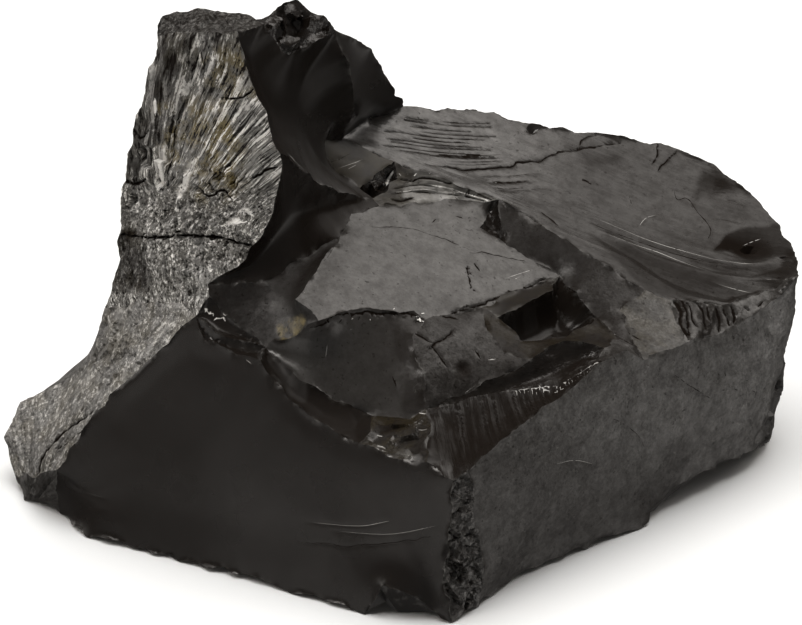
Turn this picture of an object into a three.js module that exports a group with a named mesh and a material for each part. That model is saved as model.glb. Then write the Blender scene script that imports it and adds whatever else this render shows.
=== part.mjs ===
// A shungite stone: one solid, broken piece of black, glassy mineral, 80 mm across.
//
// The stone is described the way a mineral drawing describes one: by its corners, by the
// ridges that run from corner to corner, and by the fracture faces that the ridges enclose.
// Millimetres, +Z up. The underside is a flat break at Z = 0.

import * as THREE from "three";

// ---- driving dimensions, in mm and degrees ----
const WIDTH = 80; // the long way across, tower side to tip
const DRAWING_TILT = 27.5; // how far the drawing of the corners leans back from level
const FACE_LEAN = 16; // the big front-left face leans back by this much
const FACE_BEARING = 30; // and its foot line runs back to the left at this angle
const SLAB_FALL_RIGHT = 0.31; // the slab drops this much for each mm to the right
const SLAB_RISE_BACK = 0.226; // and climbs this much for each mm to the back
const SLAB_HEIGHT = 22.65; // height of the slab's plane above the near foot
const PLATEAU_FALL_RIGHT = 0.38;
const PLATEAU_RISE_BACK = 0.3;
const PLATEAU_HEIGHT = 19.1;
const RIDGE_STEP = 1.3; // longest straight stretch of a ridge
const FACE_STEP = 1.75; // spacing of the points inside a face
const REST_INSET = 1.2; // the flat of the underside starts this far in from its chipped edge
const CHIP = 0.28; // how far a chip moves a point of a ridge
const RIPPLE_TURN = 0.9; // radians of a conchoidal ripple for each mm across a face
const RIPPLE_BEND = 0.06; // how strongly the ripples curve
const RIPPLE_SKEW = 0.2; // radians for each mm up a face
const FADE = 2; // ripples and lumps die away over this distance from a ridge

// ---- the drawing: corners are set out across it and up it, then pushed back to their depth ----
const radians = THREE.MathUtils.degToRad;
const TILT_SIN = Math.sin(radians(DRAWING_TILT));
const TILT_COS = Math.cos(radians(DRAWING_TILT));

// A corner by its place across and up the drawing, and its distance behind the near foot.
function at(across, rise, back) {
  return new THREE.Vector3(across, back, (rise - TILT_SIN * back) / TILT_COS);
}

// A corner on a plane, where z = height + slopeX * x + slopeY * y.
function on(plane, across, rise) {
  const top = rise / TILT_COS - plane.height - plane.slopeX * across;
  return at(across, rise, top / (plane.slopeY + TILT_SIN / TILT_COS));
}

// A corner on the ground, by its place across and up the drawing.
function ground(across, rise) {
  return at(across, rise, rise / TILT_SIN);
}

// A corner on the far side, which the drawing doesn't show: across, back and up.
function hidden(across, back, up) {
  return new THREE.Vector3(across, back, up);
}

// The plane of a steep face, from a point of its foot line, its bearing and its lean.
function steepPlane(across, back, bearing, lean) {
  const steep = 1 / Math.tan(radians(lean));
  const slopeX = Math.sin(radians(bearing)) * steep;
  const slopeY = Math.cos(radians(bearing)) * steep;
  return { slopeX, slopeY, height: -slopeX * across - slopeY * back };
}

const frontLeft = steepPlane(-5.1, 2.2, FACE_BEARING, FACE_LEAN);
const slab = { slopeX: -SLAB_FALL_RIGHT, slopeY: SLAB_RISE_BACK, height: SLAB_HEIGHT };
const plateau = {
  slopeX: -PLATEAU_FALL_RIGHT,
  slopeY: PLATEAU_RISE_BACK,
  height: PLATEAU_HEIGHT,
};

// ---- the corners ----
const corners = {
  // near corner, crushed from top to foot
  nearFoot: ground(5.1, 0.1),
  footRight: ground(7.7, 1.6),
  crushLeftLow: at(4.2, 4.5, 0.4),
  crushLeftMiddle: at(4.6, 8.0, 0.6),
  crushLeftHigh: at(5.1, 11.5, 0.9),
  nearTopLeft: at(5.2, 14.2, 1.1),
  crushRightLow: at(8.1, 4.5, 3.4),
  crushRightMiddle: at(7.8, 8.0, 3.0),
  crushRightHigh: at(7.2, 12.0, 2.7),
  nearTopRight: at(6.6, 15.1, 2.4),

  // foot line of the front-left face, with one chip out of it
  chipRight: at(3.2, 1.3, 1.0),
  chipHigh: at(1.2, 2.8, 0.6),
  chipTop: at(-1.8, 3.8, 1.4),
  chipLeft: ground(-3.5, 0.9),
  soleInner: ground(-11.1, 3.0),
  soleMiddle: ground(-22.1, 6.0),
  soleOuter: ground(-31.3, 8.3),
  toeInner: ground(-34.0, 10.6),
  toe: ground(-37.7, 11.9),

  // where the front-left face meets the arm
  armLow: on(frontLeft, -34.3, 15.0),
  armBelow: on(frontLeft, -32.1, 17.9),
  armMiddle: on(frontLeft, -28.9, 22.6),
  armAbove: on(frontLeft, -24.0, 26.9),
  peak: on(frontLeft, -20.3, 30.3),

  // top edge of the front-left face, from the peak down to the near corner
  slitLeft: on(frontLeft, -19.4, 27.9),
  slitRight: on(frontLeft, -13.8, 25.9),
  gutterHigh: on(frontLeft, -11.0, 22.1),
  gutterMiddle: on(frontLeft, -7.5, 19.7),
  gutterLow: on(frontLeft, -4.1, 17.8),
  gutterEnd: on(frontLeft, -0.2, 16.3),
  bandFoot: on(frontLeft, 2.6, 16.0),

  // outer side of the arm
  armEnd: at(-36.4, 14.2, 24.0),
  toeTip: at(-38.7, 14.5, 29.0),
  armOuterLow: at(-39.8, 18.2, 31.0),
  armOuterMiddle: at(-38.2, 21.7, 34.0),
  armOuterHigh: at(-33.2, 24.0, 32.0),
  armNeck: at(-31.0, 26.0, 29.5),
  armShoulder: at(-29.6, 31.0, 30.5),
  shoulderLeft: at(-26.0, 31.8, 25.5),
  shoulderRight: at(-22.6, 31.8, 22.3),

  // left side of the tower
  towerLow: at(-28.3, 35.0, 32.0),
  towerLeft: at(-27.9, 40.5, 33.0),
  towerHigh: at(-27.2, 46.5, 33.5),
  towerUpper: at(-25.4, 52.5, 34.5),
  capLeft: at(-24.1, 58.0, 34.0),

  // right edge of the tower's rough face
  hipLow: at(-18.9, 32.3, 19.8),
  hipNotch: at(-19.1, 33.5, 20.6),
  hipHigh: at(-16.1, 35.2, 20.4),
  chestLow: at(-13.9, 38.0, 20.6),
  chestMiddle: at(-12.6, 40.6, 21.0),
  chestHigh: at(-11.9, 43.8, 21.6),
  tongue: at(-11.9, 46.4, 22.4),
  neckLow: at(-13.1, 49.6, 23.8),
  neckMiddle: at(-14.5, 53.0, 25.4),
  neckHigh: at(-15.3, 55.6, 26.4),
  capCorner: at(-16.1, 58.5, 27.4),

  // top of the tower
  capFront: at(-20.2, 58.4, 30.6),
  capTipLeft: at(-23.6, 60.1, 35.0),
  capTop: at(-20.1, 60.9, 35.0),
  capTopRight: at(-16.0, 60.4, 34.0),
  capEnd: at(-13.6, 59.2, 31.5),
  crestRise: at(-12.4, 60.7, 35.0),
  crestTip: at(-10.4, 61.8, 36.0),
  crestGap: at(-8.9, 60.4, 36.2),
  crestRight: at(-7.6, 60.2, 36.6),
  crestEnd: at(-6.5, 58.7, 37.0),
  lumpLeft: at(-12.5, 57.8, 31.6),
  lumpLow: at(-11.0, 56.2, 32.0),
  lumpRight: at(-8.4, 57.6, 34.0),

  // dark spike behind the scoop
  spikeTop: at(-4.4, 57.9, 38.5),
  spikeShoulder: at(-2.9, 57.0, 40.0),
  spikeSide: at(-1.1, 53.8, 43.5),
  spikeEnd: at(0.3, 51.4, 46.6),
  spikeFoot: on(slab, -5.8, 48.0),
  spikeSlit: at(-4.6, 50.8, 38.6),
  spikeInner: at(-4.8, 53.6, 37.0),
  spikeRise: at(-5.6, 56.3, 36.6),
  slabStart: on(slab, -3.1, 50.3),

  // lower crest of the tower's scoop
  crestLineHigh: at(-10.1, 45.1, 25.2),
  crestLineMiddle: at(-7.9, 43.4, 28.4),
  crestLineLow: at(-5.2, 42.6, 31.2),
  crestLineEnd: at(-2.8, 42.1, 33.4),
  wedgeTop: at(-8.0, 47.9, 37.5),
  wedgeSide: at(-7.0, 45.5, 36.4),
  wedgeLow: at(-4.1, 43.1, 34.6),
  recessRight: at(-0.3, 44.0, 37.4),

  // the slab: its fold edge in front, then its rim round the back
  foldStart: on(slab, -0.6, 45.8),
  foldLeft: on(slab, 3.6, 44.3),
  foldMiddle: on(slab, 7.0, 43.0),
  foldCorner: on(slab, 9.8, 42.0),
  foldRight: on(slab, 14.9, 38.9),
  foldFar: on(slab, 19.9, 35.8),
  foldEnd: on(slab, 24.4, 33.0),
  bevelStart: on(slab, 26.8, 32.0),
  bevelMiddle: on(slab, 33.0, 31.6),
  bevelEnd: on(slab, 36.6, 33.0),
  tip: at(39.9, 34.4, 36.4),
  rimTip: on(slab, 39.5, 36.9),
  rimFirst: on(slab, 38.2, 39.5),
  rimSecond: on(slab, 35.7, 42.3),
  rimThird: on(slab, 31.6, 45.7),
  rimFourth: on(slab, 26.3, 47.8),
  rimFifth: on(slab, 18.5, 48.8),
  rimNotch: on(slab, 12.6, 49.8),
  rimLast: on(slab, 9.4, 50.9),

  // the plateau
  plateauFront: on(plateau, -8.1, 29.9),
  plateauLip: on(plateau, -5.0, 31.0),
  plateauEdge: on(plateau, 1.3, 30.9),
  plateauNick: on(plateau, 2.5, 30.0),
  plateauRight: on(plateau, 8.3, 31.3),
  plateauBrow: on(plateau, 12.0, 33.0),
  plateauTip: on(plateau, 15.9, 34.3),
  plateauStep: on(plateau, 12.4, 36.3),
  nookLow: on(plateau, 10.6, 37.4),
  nookLeft: on(plateau, 7.9, 39.2),
  nookHigh: on(plateau, 8.8, 40.9),
  nookEdge: at(10.0, 39.6, 35.0),
  bandRight: on(plateau, 5.9, 42.0),
  bandMiddle: on(plateau, 1.0, 41.7),
  plateauBack: on(plateau, -2.1, 41.3),
  plateauCorner: on(plateau, -4.9, 40.5),
  plateauLeft: on(plateau, -6.0, 38.2),
  plateauSide: on(plateau, -8.3, 34.8),
  plateauEnd: on(plateau, -10.4, 32.0),

  // the valley between tower and plateau
  valleyFar: at(-8.6, 36.6, 24.4),
  valleyNear: at(-14.0, 33.6, 20.6),
  basinHigh: at(-17.7, 30.6, 19.4),
  basinLow: at(-15.5, 28.9, 18.2),
  basinFoot: at(-13.3, 27.2, 16.6),
  basinLip: at(-10.6, 28.3, 15.6),
  ledgeMiddle: at(-17.4, 28.3, 17.6),

  // the scooped brown face below the plateau
  scoopLow: at(-10.1, 24.1, 13.6),
  scoopFoot: at(-6.6, 22.0, 12.2),
  scoopBase: at(-2.8, 20.5, 11.2),
  scoopEnd: at(0.9, 20.2, 10.6),
  scoopCorner: at(2.5, 21.2, 11.4),
  scoopEdge: at(2.2, 24.8, 13.6),
  scoopHigh: at(1.2, 28.4, 16.8),
  paleTop: at(-2.9, 19.0, 8.4),
  bandStart: at(3.0, 19.0, 7.8),

  // the middle face, the notch beside it and the slot under it
  middleLow: at(5.9, 22.4, 13.4),
  middleRight: at(9.9, 24.4, 15.0),
  middleEnd: at(12.9, 26.0, 16.6),
  lipLow: at(10.2, 26.8, 17.4),
  lipHigh: at(8.9, 28.6, 19.4),
  hollowLeft: at(9.6, 30.2, 22.2),
  hollowLow: at(11.9, 27.9, 19.6),
  hollowRight: at(16.5, 28.3, 21.8),
  hollowEnd: at(18.4, 29.4, 24.0),
  hollowRoof: at(12.6, 31.7, 24.6),
  hollowTop: at(15.2, 32.9, 27.6),
  stepLow: at(17.5, 32.8, 28.6),
  stepFoot: at(19.4, 30.2, 26.4),
  stepEnd: at(21.6, 28.0, 22.4),
  lipRight: at(16.2, 27.9, 19.4),
  slotEnd: at(20.2, 27.2, 19.0),
  slotTip: at(19.6, 26.2, 17.6),
  slotRight: at(16.9, 24.8, 16.4),
  slotMiddle: at(13.4, 23.5, 14.0),
  slotLow: at(9.4, 22.8, 12.6),
  slotStart: at(5.6, 21.8, 11.2),

  // top edge of the front-right face
  browLow: at(8.0, 16.5, 3.8),
  browMiddle: at(11.4, 19.2, 7.6),
  browHigh: at(15.9, 22.4, 12.4),
  browEnd: at(20.0, 25.8, 16.6),
  browPeak: at(22.4, 27.0, 18.6),
  beak: at(24.2, 26.0, 20.0),
  beakRight: at(27.1, 27.1, 22.8),
  bevelFoot: at(32.1, 28.7, 28.2),
  bevelLow: at(36.3, 31.2, 32.6),
  chipInner: at(28.4, 27.7, 24.2),
  chipSide: at(27.3, 30.1, 27.0),
  chipCorner: at(21.8, 30.9, 27.0),

  // foot line and far edge of the front-right face
  rimFoot: ground(10.8, 4.0),
  rimFootMiddle: ground(18.6, 7.2),
  rimFootRight: ground(23.9, 9.1),
  rimFootRise: at(26.4, 12.2, 23.2),
  rimFootFar: at(30.4, 14.9, 27.0),
  heelFoot: at(35.4, 16.8, 32.2),
  heelLow: at(37.0, 21.0, 33.6),
  heelMiddle: at(38.4, 25.6, 35.0),
  heelHigh: at(39.3, 29.4, 35.8),

  // end of the stone, behind the front-right face
  endFoot: at(37.2, 17.7, 38.0),
  endSide: at(38.2, 21.8, 40.0),
  endTop: at(38.8, 25.4, 41.0),

  // the far side
  groundRight: hidden(31, 37, 0),
  groundBackRight: hidden(22, 48, 0),
  groundBack: hidden(3, 52, 0),
  groundBackLeft: hidden(-17, 47, 0),
  groundLeft: hidden(-31, 36, 0),
  waistRight: hidden(36.5, 47, 9),
  waistBackRight: hidden(23, 56.5, 13),
  waistBack: hidden(2, 59.5, 15),
  waistBackLeft: hidden(-18, 54, 17),
  waistLeft: hidden(-34.5, 40.5, 3),
  towerBack: hidden(-19, 45, 41),
  crestBack: hidden(-7, 47, 40),
};

// ---- the fracture faces: each is a loop of corners, anticlockwise from outside ----
// bulge: how far the middle stands out (or sinks, when negative), in mm.
// ripple: height of the conchoidal ripples, in mm. rough: height of the lumps, in mm.
const faces = {
  frontLeft: {
    loop: `toeInner soleOuter soleMiddle soleInner chipLeft chipTop chipHigh chipRight nearFoot
      crushLeftLow crushLeftMiddle crushLeftHigh nearTopLeft bandFoot gutterEnd gutterLow
      gutterMiddle gutterHigh slitRight slitLeft peak armAbove armMiddle armBelow armLow`,
    bulge: 0.5,
  },
  nearCorner: {
    loop: `nearFoot footRight crushRightLow crushRightMiddle crushRightHigh nearTopRight
      nearTopLeft crushLeftHigh crushLeftMiddle crushLeftLow`,
    rough: 0.5,
  },
  frontRight: {
    loop: `footRight rimFoot rimFootMiddle rimFootRight rimFootRise rimFootFar heelFoot heelLow
      heelMiddle heelHigh tip bevelLow bevelFoot chipInner beakRight beak browPeak browEnd
      browHigh browMiddle browLow nearTopRight crushRightHigh crushRightMiddle crushRightLow`,
    bulge: 0.4,
  },
  armToe: { loop: "toe toeInner armLow armEnd toeTip", rough: 0.3 },
  arm: {
    loop: `armLow armBelow armMiddle armAbove peak shoulderRight shoulderLeft armShoulder
      armNeck armOuterHigh armOuterMiddle armOuterLow toeTip armEnd`,
    rough: 0.5,
  },
  towerFace: {
    loop: `armShoulder shoulderLeft shoulderRight peak hipLow hipNotch hipHigh chestLow
      chestMiddle chestHigh tongue neckLow neckMiddle neckHigh capCorner capFront capLeft
      towerUpper towerHigh towerLeft towerLow`,
    bulge: 0.4,
    rough: 0.7,
  },
  towerCap: { loop: "capLeft capFront capCorner capEnd capTopRight capTop capTipLeft" },
  towerScoop: {
    loop: `tongue crestLineHigh crestLineMiddle crestLineLow crestLineEnd wedgeLow wedgeSide
      wedgeTop spikeFoot spikeSlit spikeInner spikeRise crestEnd lumpRight lumpLow lumpLeft
      capEnd capCorner neckHigh neckMiddle neckLow`,
    bulge: -3,
  },
  crestLump: {
    loop: `lumpLeft lumpLow lumpRight crestEnd crestRight crestGap crestTip crestRise capEnd`,
    rough: 0.8,
  },
  spike: {
    loop: `spikeFoot slabStart spikeEnd spikeSide spikeShoulder spikeTop crestEnd spikeRise
      spikeInner spikeSlit`,
  },
  wedge: { loop: "wedgeTop wedgeSide wedgeLow foldStart spikeFoot" },
  recess: { loop: "wedgeLow crestLineEnd recessRight foldStart", bulge: -1 },
  stripedBand: {
    loop: `crestLineEnd plateauBack bandMiddle bandRight foldCorner foldMiddle foldLeft
      foldStart recessRight`,
    bulge: -0.4,
  },
  slab: {
    loop: `spikeFoot foldStart foldLeft foldMiddle foldCorner foldRight foldFar foldEnd
      bevelStart bevelMiddle bevelEnd tip rimTip rimFirst rimSecond rimThird rimFourth
      rimFifth rimNotch rimLast spikeEnd slabStart`,
    bulge: -0.9,
    ripple: 0.25,
  },
  slabBevel: {
    loop: "chipInner bevelFoot bevelLow tip bevelEnd bevelMiddle bevelStart chipSide",
    rough: 0.3,
  },
  slabChip: { loop: "beak beakRight chipInner chipSide bevelStart foldEnd chipCorner" },
  slabStep: {
    loop: `foldCorner nookEdge nookLow plateauStep plateauTip stepLow stepFoot stepEnd beak
      chipCorner foldEnd foldFar foldRight`,
  },
  plateauNook: { loop: "foldCorner nookHigh nookLeft nookLow nookEdge", bulge: -0.8 },
  plateau: {
    loop: `plateauFront plateauLip plateauEdge plateauNick plateauRight plateauBrow
      plateauTip plateauStep nookLow nookLeft nookHigh foldCorner bandRight bandMiddle
      plateauBack plateauCorner plateauLeft plateauSide plateauEnd`,
    bulge: 0.5,
  },
  valleyWall: {
    loop: `hipNotch valleyNear valleyFar plateauLeft plateauCorner plateauBack crestLineEnd
      crestLineLow crestLineMiddle crestLineHigh tongue chestHigh chestMiddle chestLow hipHigh`,
    bulge: -1.2,
  },
  basin: {
    loop: `hipLow basinHigh basinLow basinFoot basinLip plateauFront plateauEnd plateauSide
      plateauLeft valleyFar valleyNear hipNotch`,
    bulge: -0.8,
  },
  ledgeUpper: { loop: "peak ledgeMiddle basinFoot basinLow basinHigh hipLow", bulge: -0.5 },
  ledgeLower: { loop: "peak slitLeft slitRight basinFoot ledgeMiddle", bulge: -0.6 },
  scoop: {
    loop: `basinFoot scoopLow scoopFoot scoopBase scoopEnd scoopCorner scoopEdge scoopHigh
      plateauNick plateauEdge plateauLip plateauFront basinLip`,
    bulge: -0.7,
  },
  gutter: {
    loop: `slitRight gutterHigh gutterMiddle gutterLow paleTop scoopBase scoopFoot scoopLow
      basinFoot`,
    bulge: -0.7,
  },
  paleFacet: {
    loop: "gutterLow gutterEnd bandFoot bandStart scoopCorner scoopEnd scoopBase paleTop",
  },
  middle: {
    loop: `scoopCorner middleLow middleRight middleEnd lipLow lipHigh plateauRight
      plateauNick scoopHigh scoopEdge`,
    bulge: 0.3,
  },
  slot: {
    loop: `scoopCorner slotStart slotLow slotMiddle slotRight slotTip slotEnd lipRight
      middleEnd middleRight middleLow`,
    bulge: -0.6,
  },
  hackledBand: {
    loop: `bandFoot nearTopLeft nearTopRight browLow browMiddle browHigh browEnd slotTip
      slotRight slotMiddle slotLow slotStart scoopCorner bandStart`,
    bulge: -0.6,
  },
  browFacet: { loop: "browEnd browPeak beak stepEnd slotEnd slotTip" },
  notchLip: {
    loop: `middleEnd lipRight slotEnd stepEnd stepFoot hollowEnd hollowRight hollowLow
      hollowLeft plateauRight lipHigh lipLow`,
  },
  notchHollow: {
    loop: `hollowLeft hollowLow hollowRight hollowEnd stepFoot stepLow plateauTip hollowTop
      hollowRoof`,
    bulge: -2,
  },
  notchRoof: { loop: "plateauRight hollowLeft hollowRoof hollowTop plateauTip plateauBrow" },
  endFace: { loop: "heelFoot endFoot endSide endTop heelMiddle heelLow", rough: 0.4 },
  undercut: { loop: "rimFootRight groundRight endFoot heelFoot rimFootFar rimFootRise" },
  backRightLow: {
    loop: "groundRight groundBackRight waistBackRight waistRight endSide endFoot",
  },
  backEnd: {
    loop: `rimThird rimSecond rimFirst rimTip tip heelHigh heelMiddle endTop endSide
      waistRight waistBackRight`,
    bulge: 0.8,
  },
  backSlab: {
    loop: `spikeEnd rimLast rimNotch rimFifth rimFourth rimThird waistBackRight waistBack`,
    bulge: -1,
    ripple: 0.3,
  },
  backLow: { loop: "groundBackRight groundBack waistBack waistBackRight" },
  backLowLeft: { loop: "groundBackLeft waistBackLeft waistBack groundBack" },
  towerBackRight: {
    loop: `crestTip crestGap crestRight crestEnd spikeTop spikeShoulder spikeSide spikeEnd
      waistBack crestBack`,
  },
  towerBackMiddle: {
    loop: `capTop capTopRight capEnd crestRise crestTip crestBack waistBack waistBackLeft
      towerBack`,
    bulge: -1,
  },
  towerSide: {
    loop: `armShoulder towerLow towerLeft towerHigh towerUpper capLeft capTipLeft capTop
      towerBack waistBackLeft`,
    bulge: 0.6,
  },
  armBack: {
    loop: `toeTip armOuterLow armOuterMiddle armOuterHigh armNeck armShoulder waistBackLeft
      waistLeft`,
    bulge: 0.5,
  },
  leftLow: { loop: "toe toeTip waistLeft groundLeft", rough: 0.3 },
  leftBackLow: { loop: "groundLeft waistLeft waistBackLeft groundBackLeft" },
  underside: {
    loop: `groundRight rimFootRight rimFootMiddle rimFoot footRight nearFoot chipRight
      chipHigh chipTop chipLeft soleInner soleMiddle soleOuter toeInner toe groundLeft
      groundBackLeft groundBack groundBackRight`,
    rests: true,
  },
};

// ---- ridges: straight runs between corners, broken into short chipped lengths ----
const SCATTER_WAVE = new THREE.Vector3(12.9898, 78.233, 37.719);
const SCATTER_GAIN = 43758.5453;

// A repeatable number from -1 to 1 for a place in space.
function scatter(point, salt) {
  const wave = Math.sin(point.dot(SCATTER_WAVE) + salt) * SCATTER_GAIN;
  return 2 * (wave - Math.floor(wave)) - 1;
}

// The points of the ridge from one corner to the next, leaving out the last.
function ridgePoints(from, to) {
  const forward = from < to;
  const start = corners[forward ? from : to];
  const end = corners[forward ? to : from];
  const count = Math.max(1, Math.round(start.distanceTo(end) / RIDGE_STEP));
  const onGround = start.z < 0.01 && end.z < 0.01;
  const points = [];
  for (let i = 0; i <= count; i++) {
    const point = new THREE.Vector3().lerpVectors(start, end, i / count);
    if (i > 0 && i < count) {
      const chip = new THREE.Vector3(scatter(point, 1), scatter(point, 2), scatter(point, 3));
      point.addScaledVector(chip, CHIP);
      if (onGround) point.z = CHIP * (1.5 + scatter(point, 4));
    }
    points.push(point);
  }
  if (!forward) points.reverse();
  return points.slice(0, -1);
}

function outlineOf(face) {
  const names = face.loop.trim().split(/\s+/);
  return names.flatMap((name, i) => ridgePoints(name, names[(i + 1) % names.length]));
}

// ---- faces: each is laid flat, filled with points, joined into triangles and relieved ----

// The frame of a face: its middle, its outward normal, and two directions along it.
function frameOf(outline) {
  const middle = new THREE.Vector3();
  const normal = new THREE.Vector3();
  outline.forEach((point, i) => {
    const next = outline[(i + 1) % outline.length];
    normal.add(new THREE.Vector3().crossVectors(point, next));
    middle.addScaledVector(point, 1 / outline.length);
  });
  normal.normalize();
  const side = Math.abs(normal.z) < 0.9 ? new THREE.Vector3(0, 0, 1) : new THREE.Vector3(0, 1, 0);
  const right = new THREE.Vector3().crossVectors(side, normal).normalize();
  const up = new THREE.Vector3().crossVectors(normal, right);
  return { middle, normal, right, up };
}

// A point as [along right, along up, out along the normal].
function flatten(frame, point) {
  const offset = new THREE.Vector3().subVectors(point, frame.middle);
  return [offset.dot(frame.right), offset.dot(frame.up), offset.dot(frame.normal)];
}

function raise(frame, [x, y, out]) {
  return frame.middle
    .clone()
    .addScaledVector(frame.right, x)
    .addScaledVector(frame.up, y)
    .addScaledVector(frame.normal, out);
}

// Distance from a point to the outline, negative outside it.
function depthInside([x, y], outline) {
  let nearest = Infinity;
  let inside = false;
  outline.forEach(([ax, ay], i) => {
    const [bx, by] = outline[(i + 1) % outline.length];
    const length = (bx - ax) ** 2 + (by - ay) ** 2;
    const along = Math.min(1, Math.max(0, ((x - ax) * (bx - ax) + (y - ay) * (by - ay)) / length));
    nearest = Math.min(nearest, Math.hypot(x - ax - along * (bx - ax), y - ay - along * (by - ay)));
    if (ay > y !== by > y && x < ax + ((y - ay) / (by - ay)) * (bx - ax)) inside = !inside;
  });
  return inside ? nearest : -nearest;
}

// Height over a point, from the heights of the outline: mean value coordinates.
function spanHeight([x, y], outline) {
  let total = 0;
  let height = 0;
  const tangents = outline.map(([ax, ay], i) => {
    const [bx, by] = outline[(i + 1) % outline.length];
    const cross = (ax - x) * (by - y) - (ay - y) * (bx - x);
    const dot = (ax - x) * (bx - x) + (ay - y) * (by - y);
    return Math.tan(Math.atan2(cross, dot) / 2);
  });
  outline.forEach(([ax, ay, az], i) => {
    const before = tangents[(i + outline.length - 1) % outline.length];
    const weight = (before + tangents[i]) / Math.hypot(ax - x, ay - y);
    total += weight;
    height += weight * az;
  });
  return height / total;
}

// Twice the area of a flat triangle, positive when it is anticlockwise.
function turn(a, b, c) {
  return (b[0] - a[0]) * (c[1] - a[1]) - (b[1] - a[1]) * (c[0] - a[0]);
}

// Whether point d lies inside the circle through a, b and c.
function inCircle(a, b, c, d) {
  const [p, q, r] = [a, b, c].map((v) => [v[0] - d[0], v[1] - d[1]]);
  const [pp, qq, rr] = [p, q, r].map((v) => v[0] * v[0] + v[1] * v[1]);
  const first = p[0] * (q[1] * rr - qq * r[1]);
  const second = p[1] * (q[0] * rr - qq * r[0]);
  const third = pp * (q[0] * r[1] - q[1] * r[0]);
  return first - second + third > 1e-9;
}

// The outline cut into triangles, with the inner points let in one by one and every
// inner edge turned until the triangles are as even as they can be.
function triangulate(outline, inner) {
  const points = [...outline, ...inner];
  const flat = outline.map(([x, y]) => new THREE.Vector2(x, y));
  const triangles = THREE.ShapeUtils.triangulateShape(flat, []);
  const owner = new Map(); // the triangle to the left of each directed edge
  const key = (a, b) => a * points.length + b;
  const claim = (index) => {
    const [a, b, c] = triangles[index];
    owner.set(key(a, b), index);
    owner.set(key(b, c), index);
    owner.set(key(c, a), index);
  };
  const settle = (a, b) => {
    const left = owner.get(key(a, b));
    const right = owner.get(key(b, a));
    if (left === undefined || right === undefined) return;
    const c = triangles[left].find((v) => v !== a && v !== b);
    const d = triangles[right].find((v) => v !== a && v !== b);
    if (!inCircle(points[a], points[b], points[c], points[d])) return;
    if (turn(points[c], points[d], points[b]) <= 1e-9) return;
    if (turn(points[d], points[c], points[a]) <= 1e-9) return;
    owner.delete(key(a, b));
    owner.delete(key(b, a));
    triangles[left] = [c, d, b];
    triangles[right] = [d, c, a];
    claim(left);
    claim(right);
    settle(b, c);
    settle(c, a);
    settle(a, d);
    settle(d, b);
  };
  triangles.forEach((_, index) => claim(index));
  [...owner.keys()].forEach((edge) => {
    const a = Math.floor(edge / points.length);
    const b = edge % points.length;
    if (owner.has(edge)) settle(a, b);
  });
  for (let p = outline.length; p < points.length; p++) {
    const around = triangles.findIndex((corner) =>
      corner.every((v, i) => turn(points[v], points[corner[(i + 1) % 3]], points[p]) > 1e-6),
    );
    if (around < 0) continue;
    const [a, b, c] = triangles[around];
    triangles[around] = [a, b, p];
    triangles.push([b, c, p], [c, a, p]);
    claim(around);
    claim(triangles.length - 2);
    claim(triangles.length - 1);
    settle(a, b);
    settle(b, c);
    settle(c, a);
  }
  return { points, triangles };
}

// Points in even rows inside the outline, clear of its edge.
function fillPoints(outline, step, clear) {
  const xs = outline.map((point) => point[0]);
  const ys = outline.map((point) => point[1]);
  const rows = Math.ceil((Math.max(...ys) - Math.min(...ys)) / step);
  const columns = Math.ceil((Math.max(...xs) - Math.min(...xs)) / step) + 1;
  const inner = [];
  for (let row = 0; row <= rows; row++) {
    for (let column = 0; column <= columns; column++) {
      const x = Math.min(...xs) + (column - (row % 2) / 2) * step;
      const y = Math.min(...ys) + row * step;
      if (depthInside([x, y], outline) > clear) inner.push([x, y]);
    }
  }
  return inner;
}

// How far a face stands out at a point: its bulge, its ripples and its lumps, all of
// which die away towards the ridges.
function reliefOf(face, frame, point, depth, reach) {
  const { bulge = 0, ripple = 0, rough = 0 } = face;
  const share = Math.min(1, depth / reach);
  const dome = bulge * share * (2 - share);
  const fade = Math.min(1, depth / FADE);
  const bend = RIPPLE_BEND * point[1] ** 2 + RIPPLE_SKEW * point[1];
  const ring = Math.sin(RIPPLE_TURN * point[0] + bend);
  const lump = scatter(raise(frame, [point[0], point[1], 0]), 5);
  return dome + fade * (ripple * ring + rough * lump);
}

function meshFace(face) {
  const rim = outlineOf(face);
  const frame = frameOf(rim);
  const outline = rim.map((point) => flatten(frame, point));
  const clear = face.rests ? REST_INSET : 0.6 * FACE_STEP;
  const inner = fillPoints(outline, FACE_STEP, clear);
  const reach = Math.max(1, ...inner.map((point) => depthInside(point, outline)));
  const { points, triangles } = triangulate(outline, inner);
  const placed = points.map((point, i) => {
    if (i < rim.length) return rim[i];
    const depth = depthInside(point, outline);
    const out = spanHeight(point, outline) + reliefOf(face, frame, point, depth, reach);
    const place = raise(frame, [point[0], point[1], out]);
    if (face.rests) place.z = 0;
    return place;
  });
  return triangles.map((corner) => corner.map((i) => placed[i]));
}

// ---- the stone ----
function stoneGeometry() {
  const triangles = Object.values(faces).flatMap(meshFace);
  const positions = triangles.flatMap((corner) => corner.flatMap((point) => point.toArray()));
  const geometry = new THREE.BufferGeometry();
  geometry.setAttribute("position", new THREE.Float32BufferAttribute(positions, 3));
  geometry.computeBoundingBox();
  const size = geometry.boundingBox.getSize(new THREE.Vector3());
  const middle = geometry.boundingBox.getCenter(new THREE.Vector3());
  geometry.translate(-middle.x, -middle.y, -geometry.boundingBox.min.z);
  geometry.scale(WIDTH / size.x, WIDTH / size.x, WIDTH / size.x);
  geometry.computeVertexNormals();
  return geometry;
}

const black = new THREE.MeshStandardMaterial({ color: 0x1d1c1b, roughness: 0.35, metalness: 0 });
const stone = new THREE.Mesh(stoneGeometry(), black);
stone.name = "stone";

const part = new THREE.Group();
part.add(stone);

export default part;
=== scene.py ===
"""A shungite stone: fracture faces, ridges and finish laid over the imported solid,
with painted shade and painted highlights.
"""

import math

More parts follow.
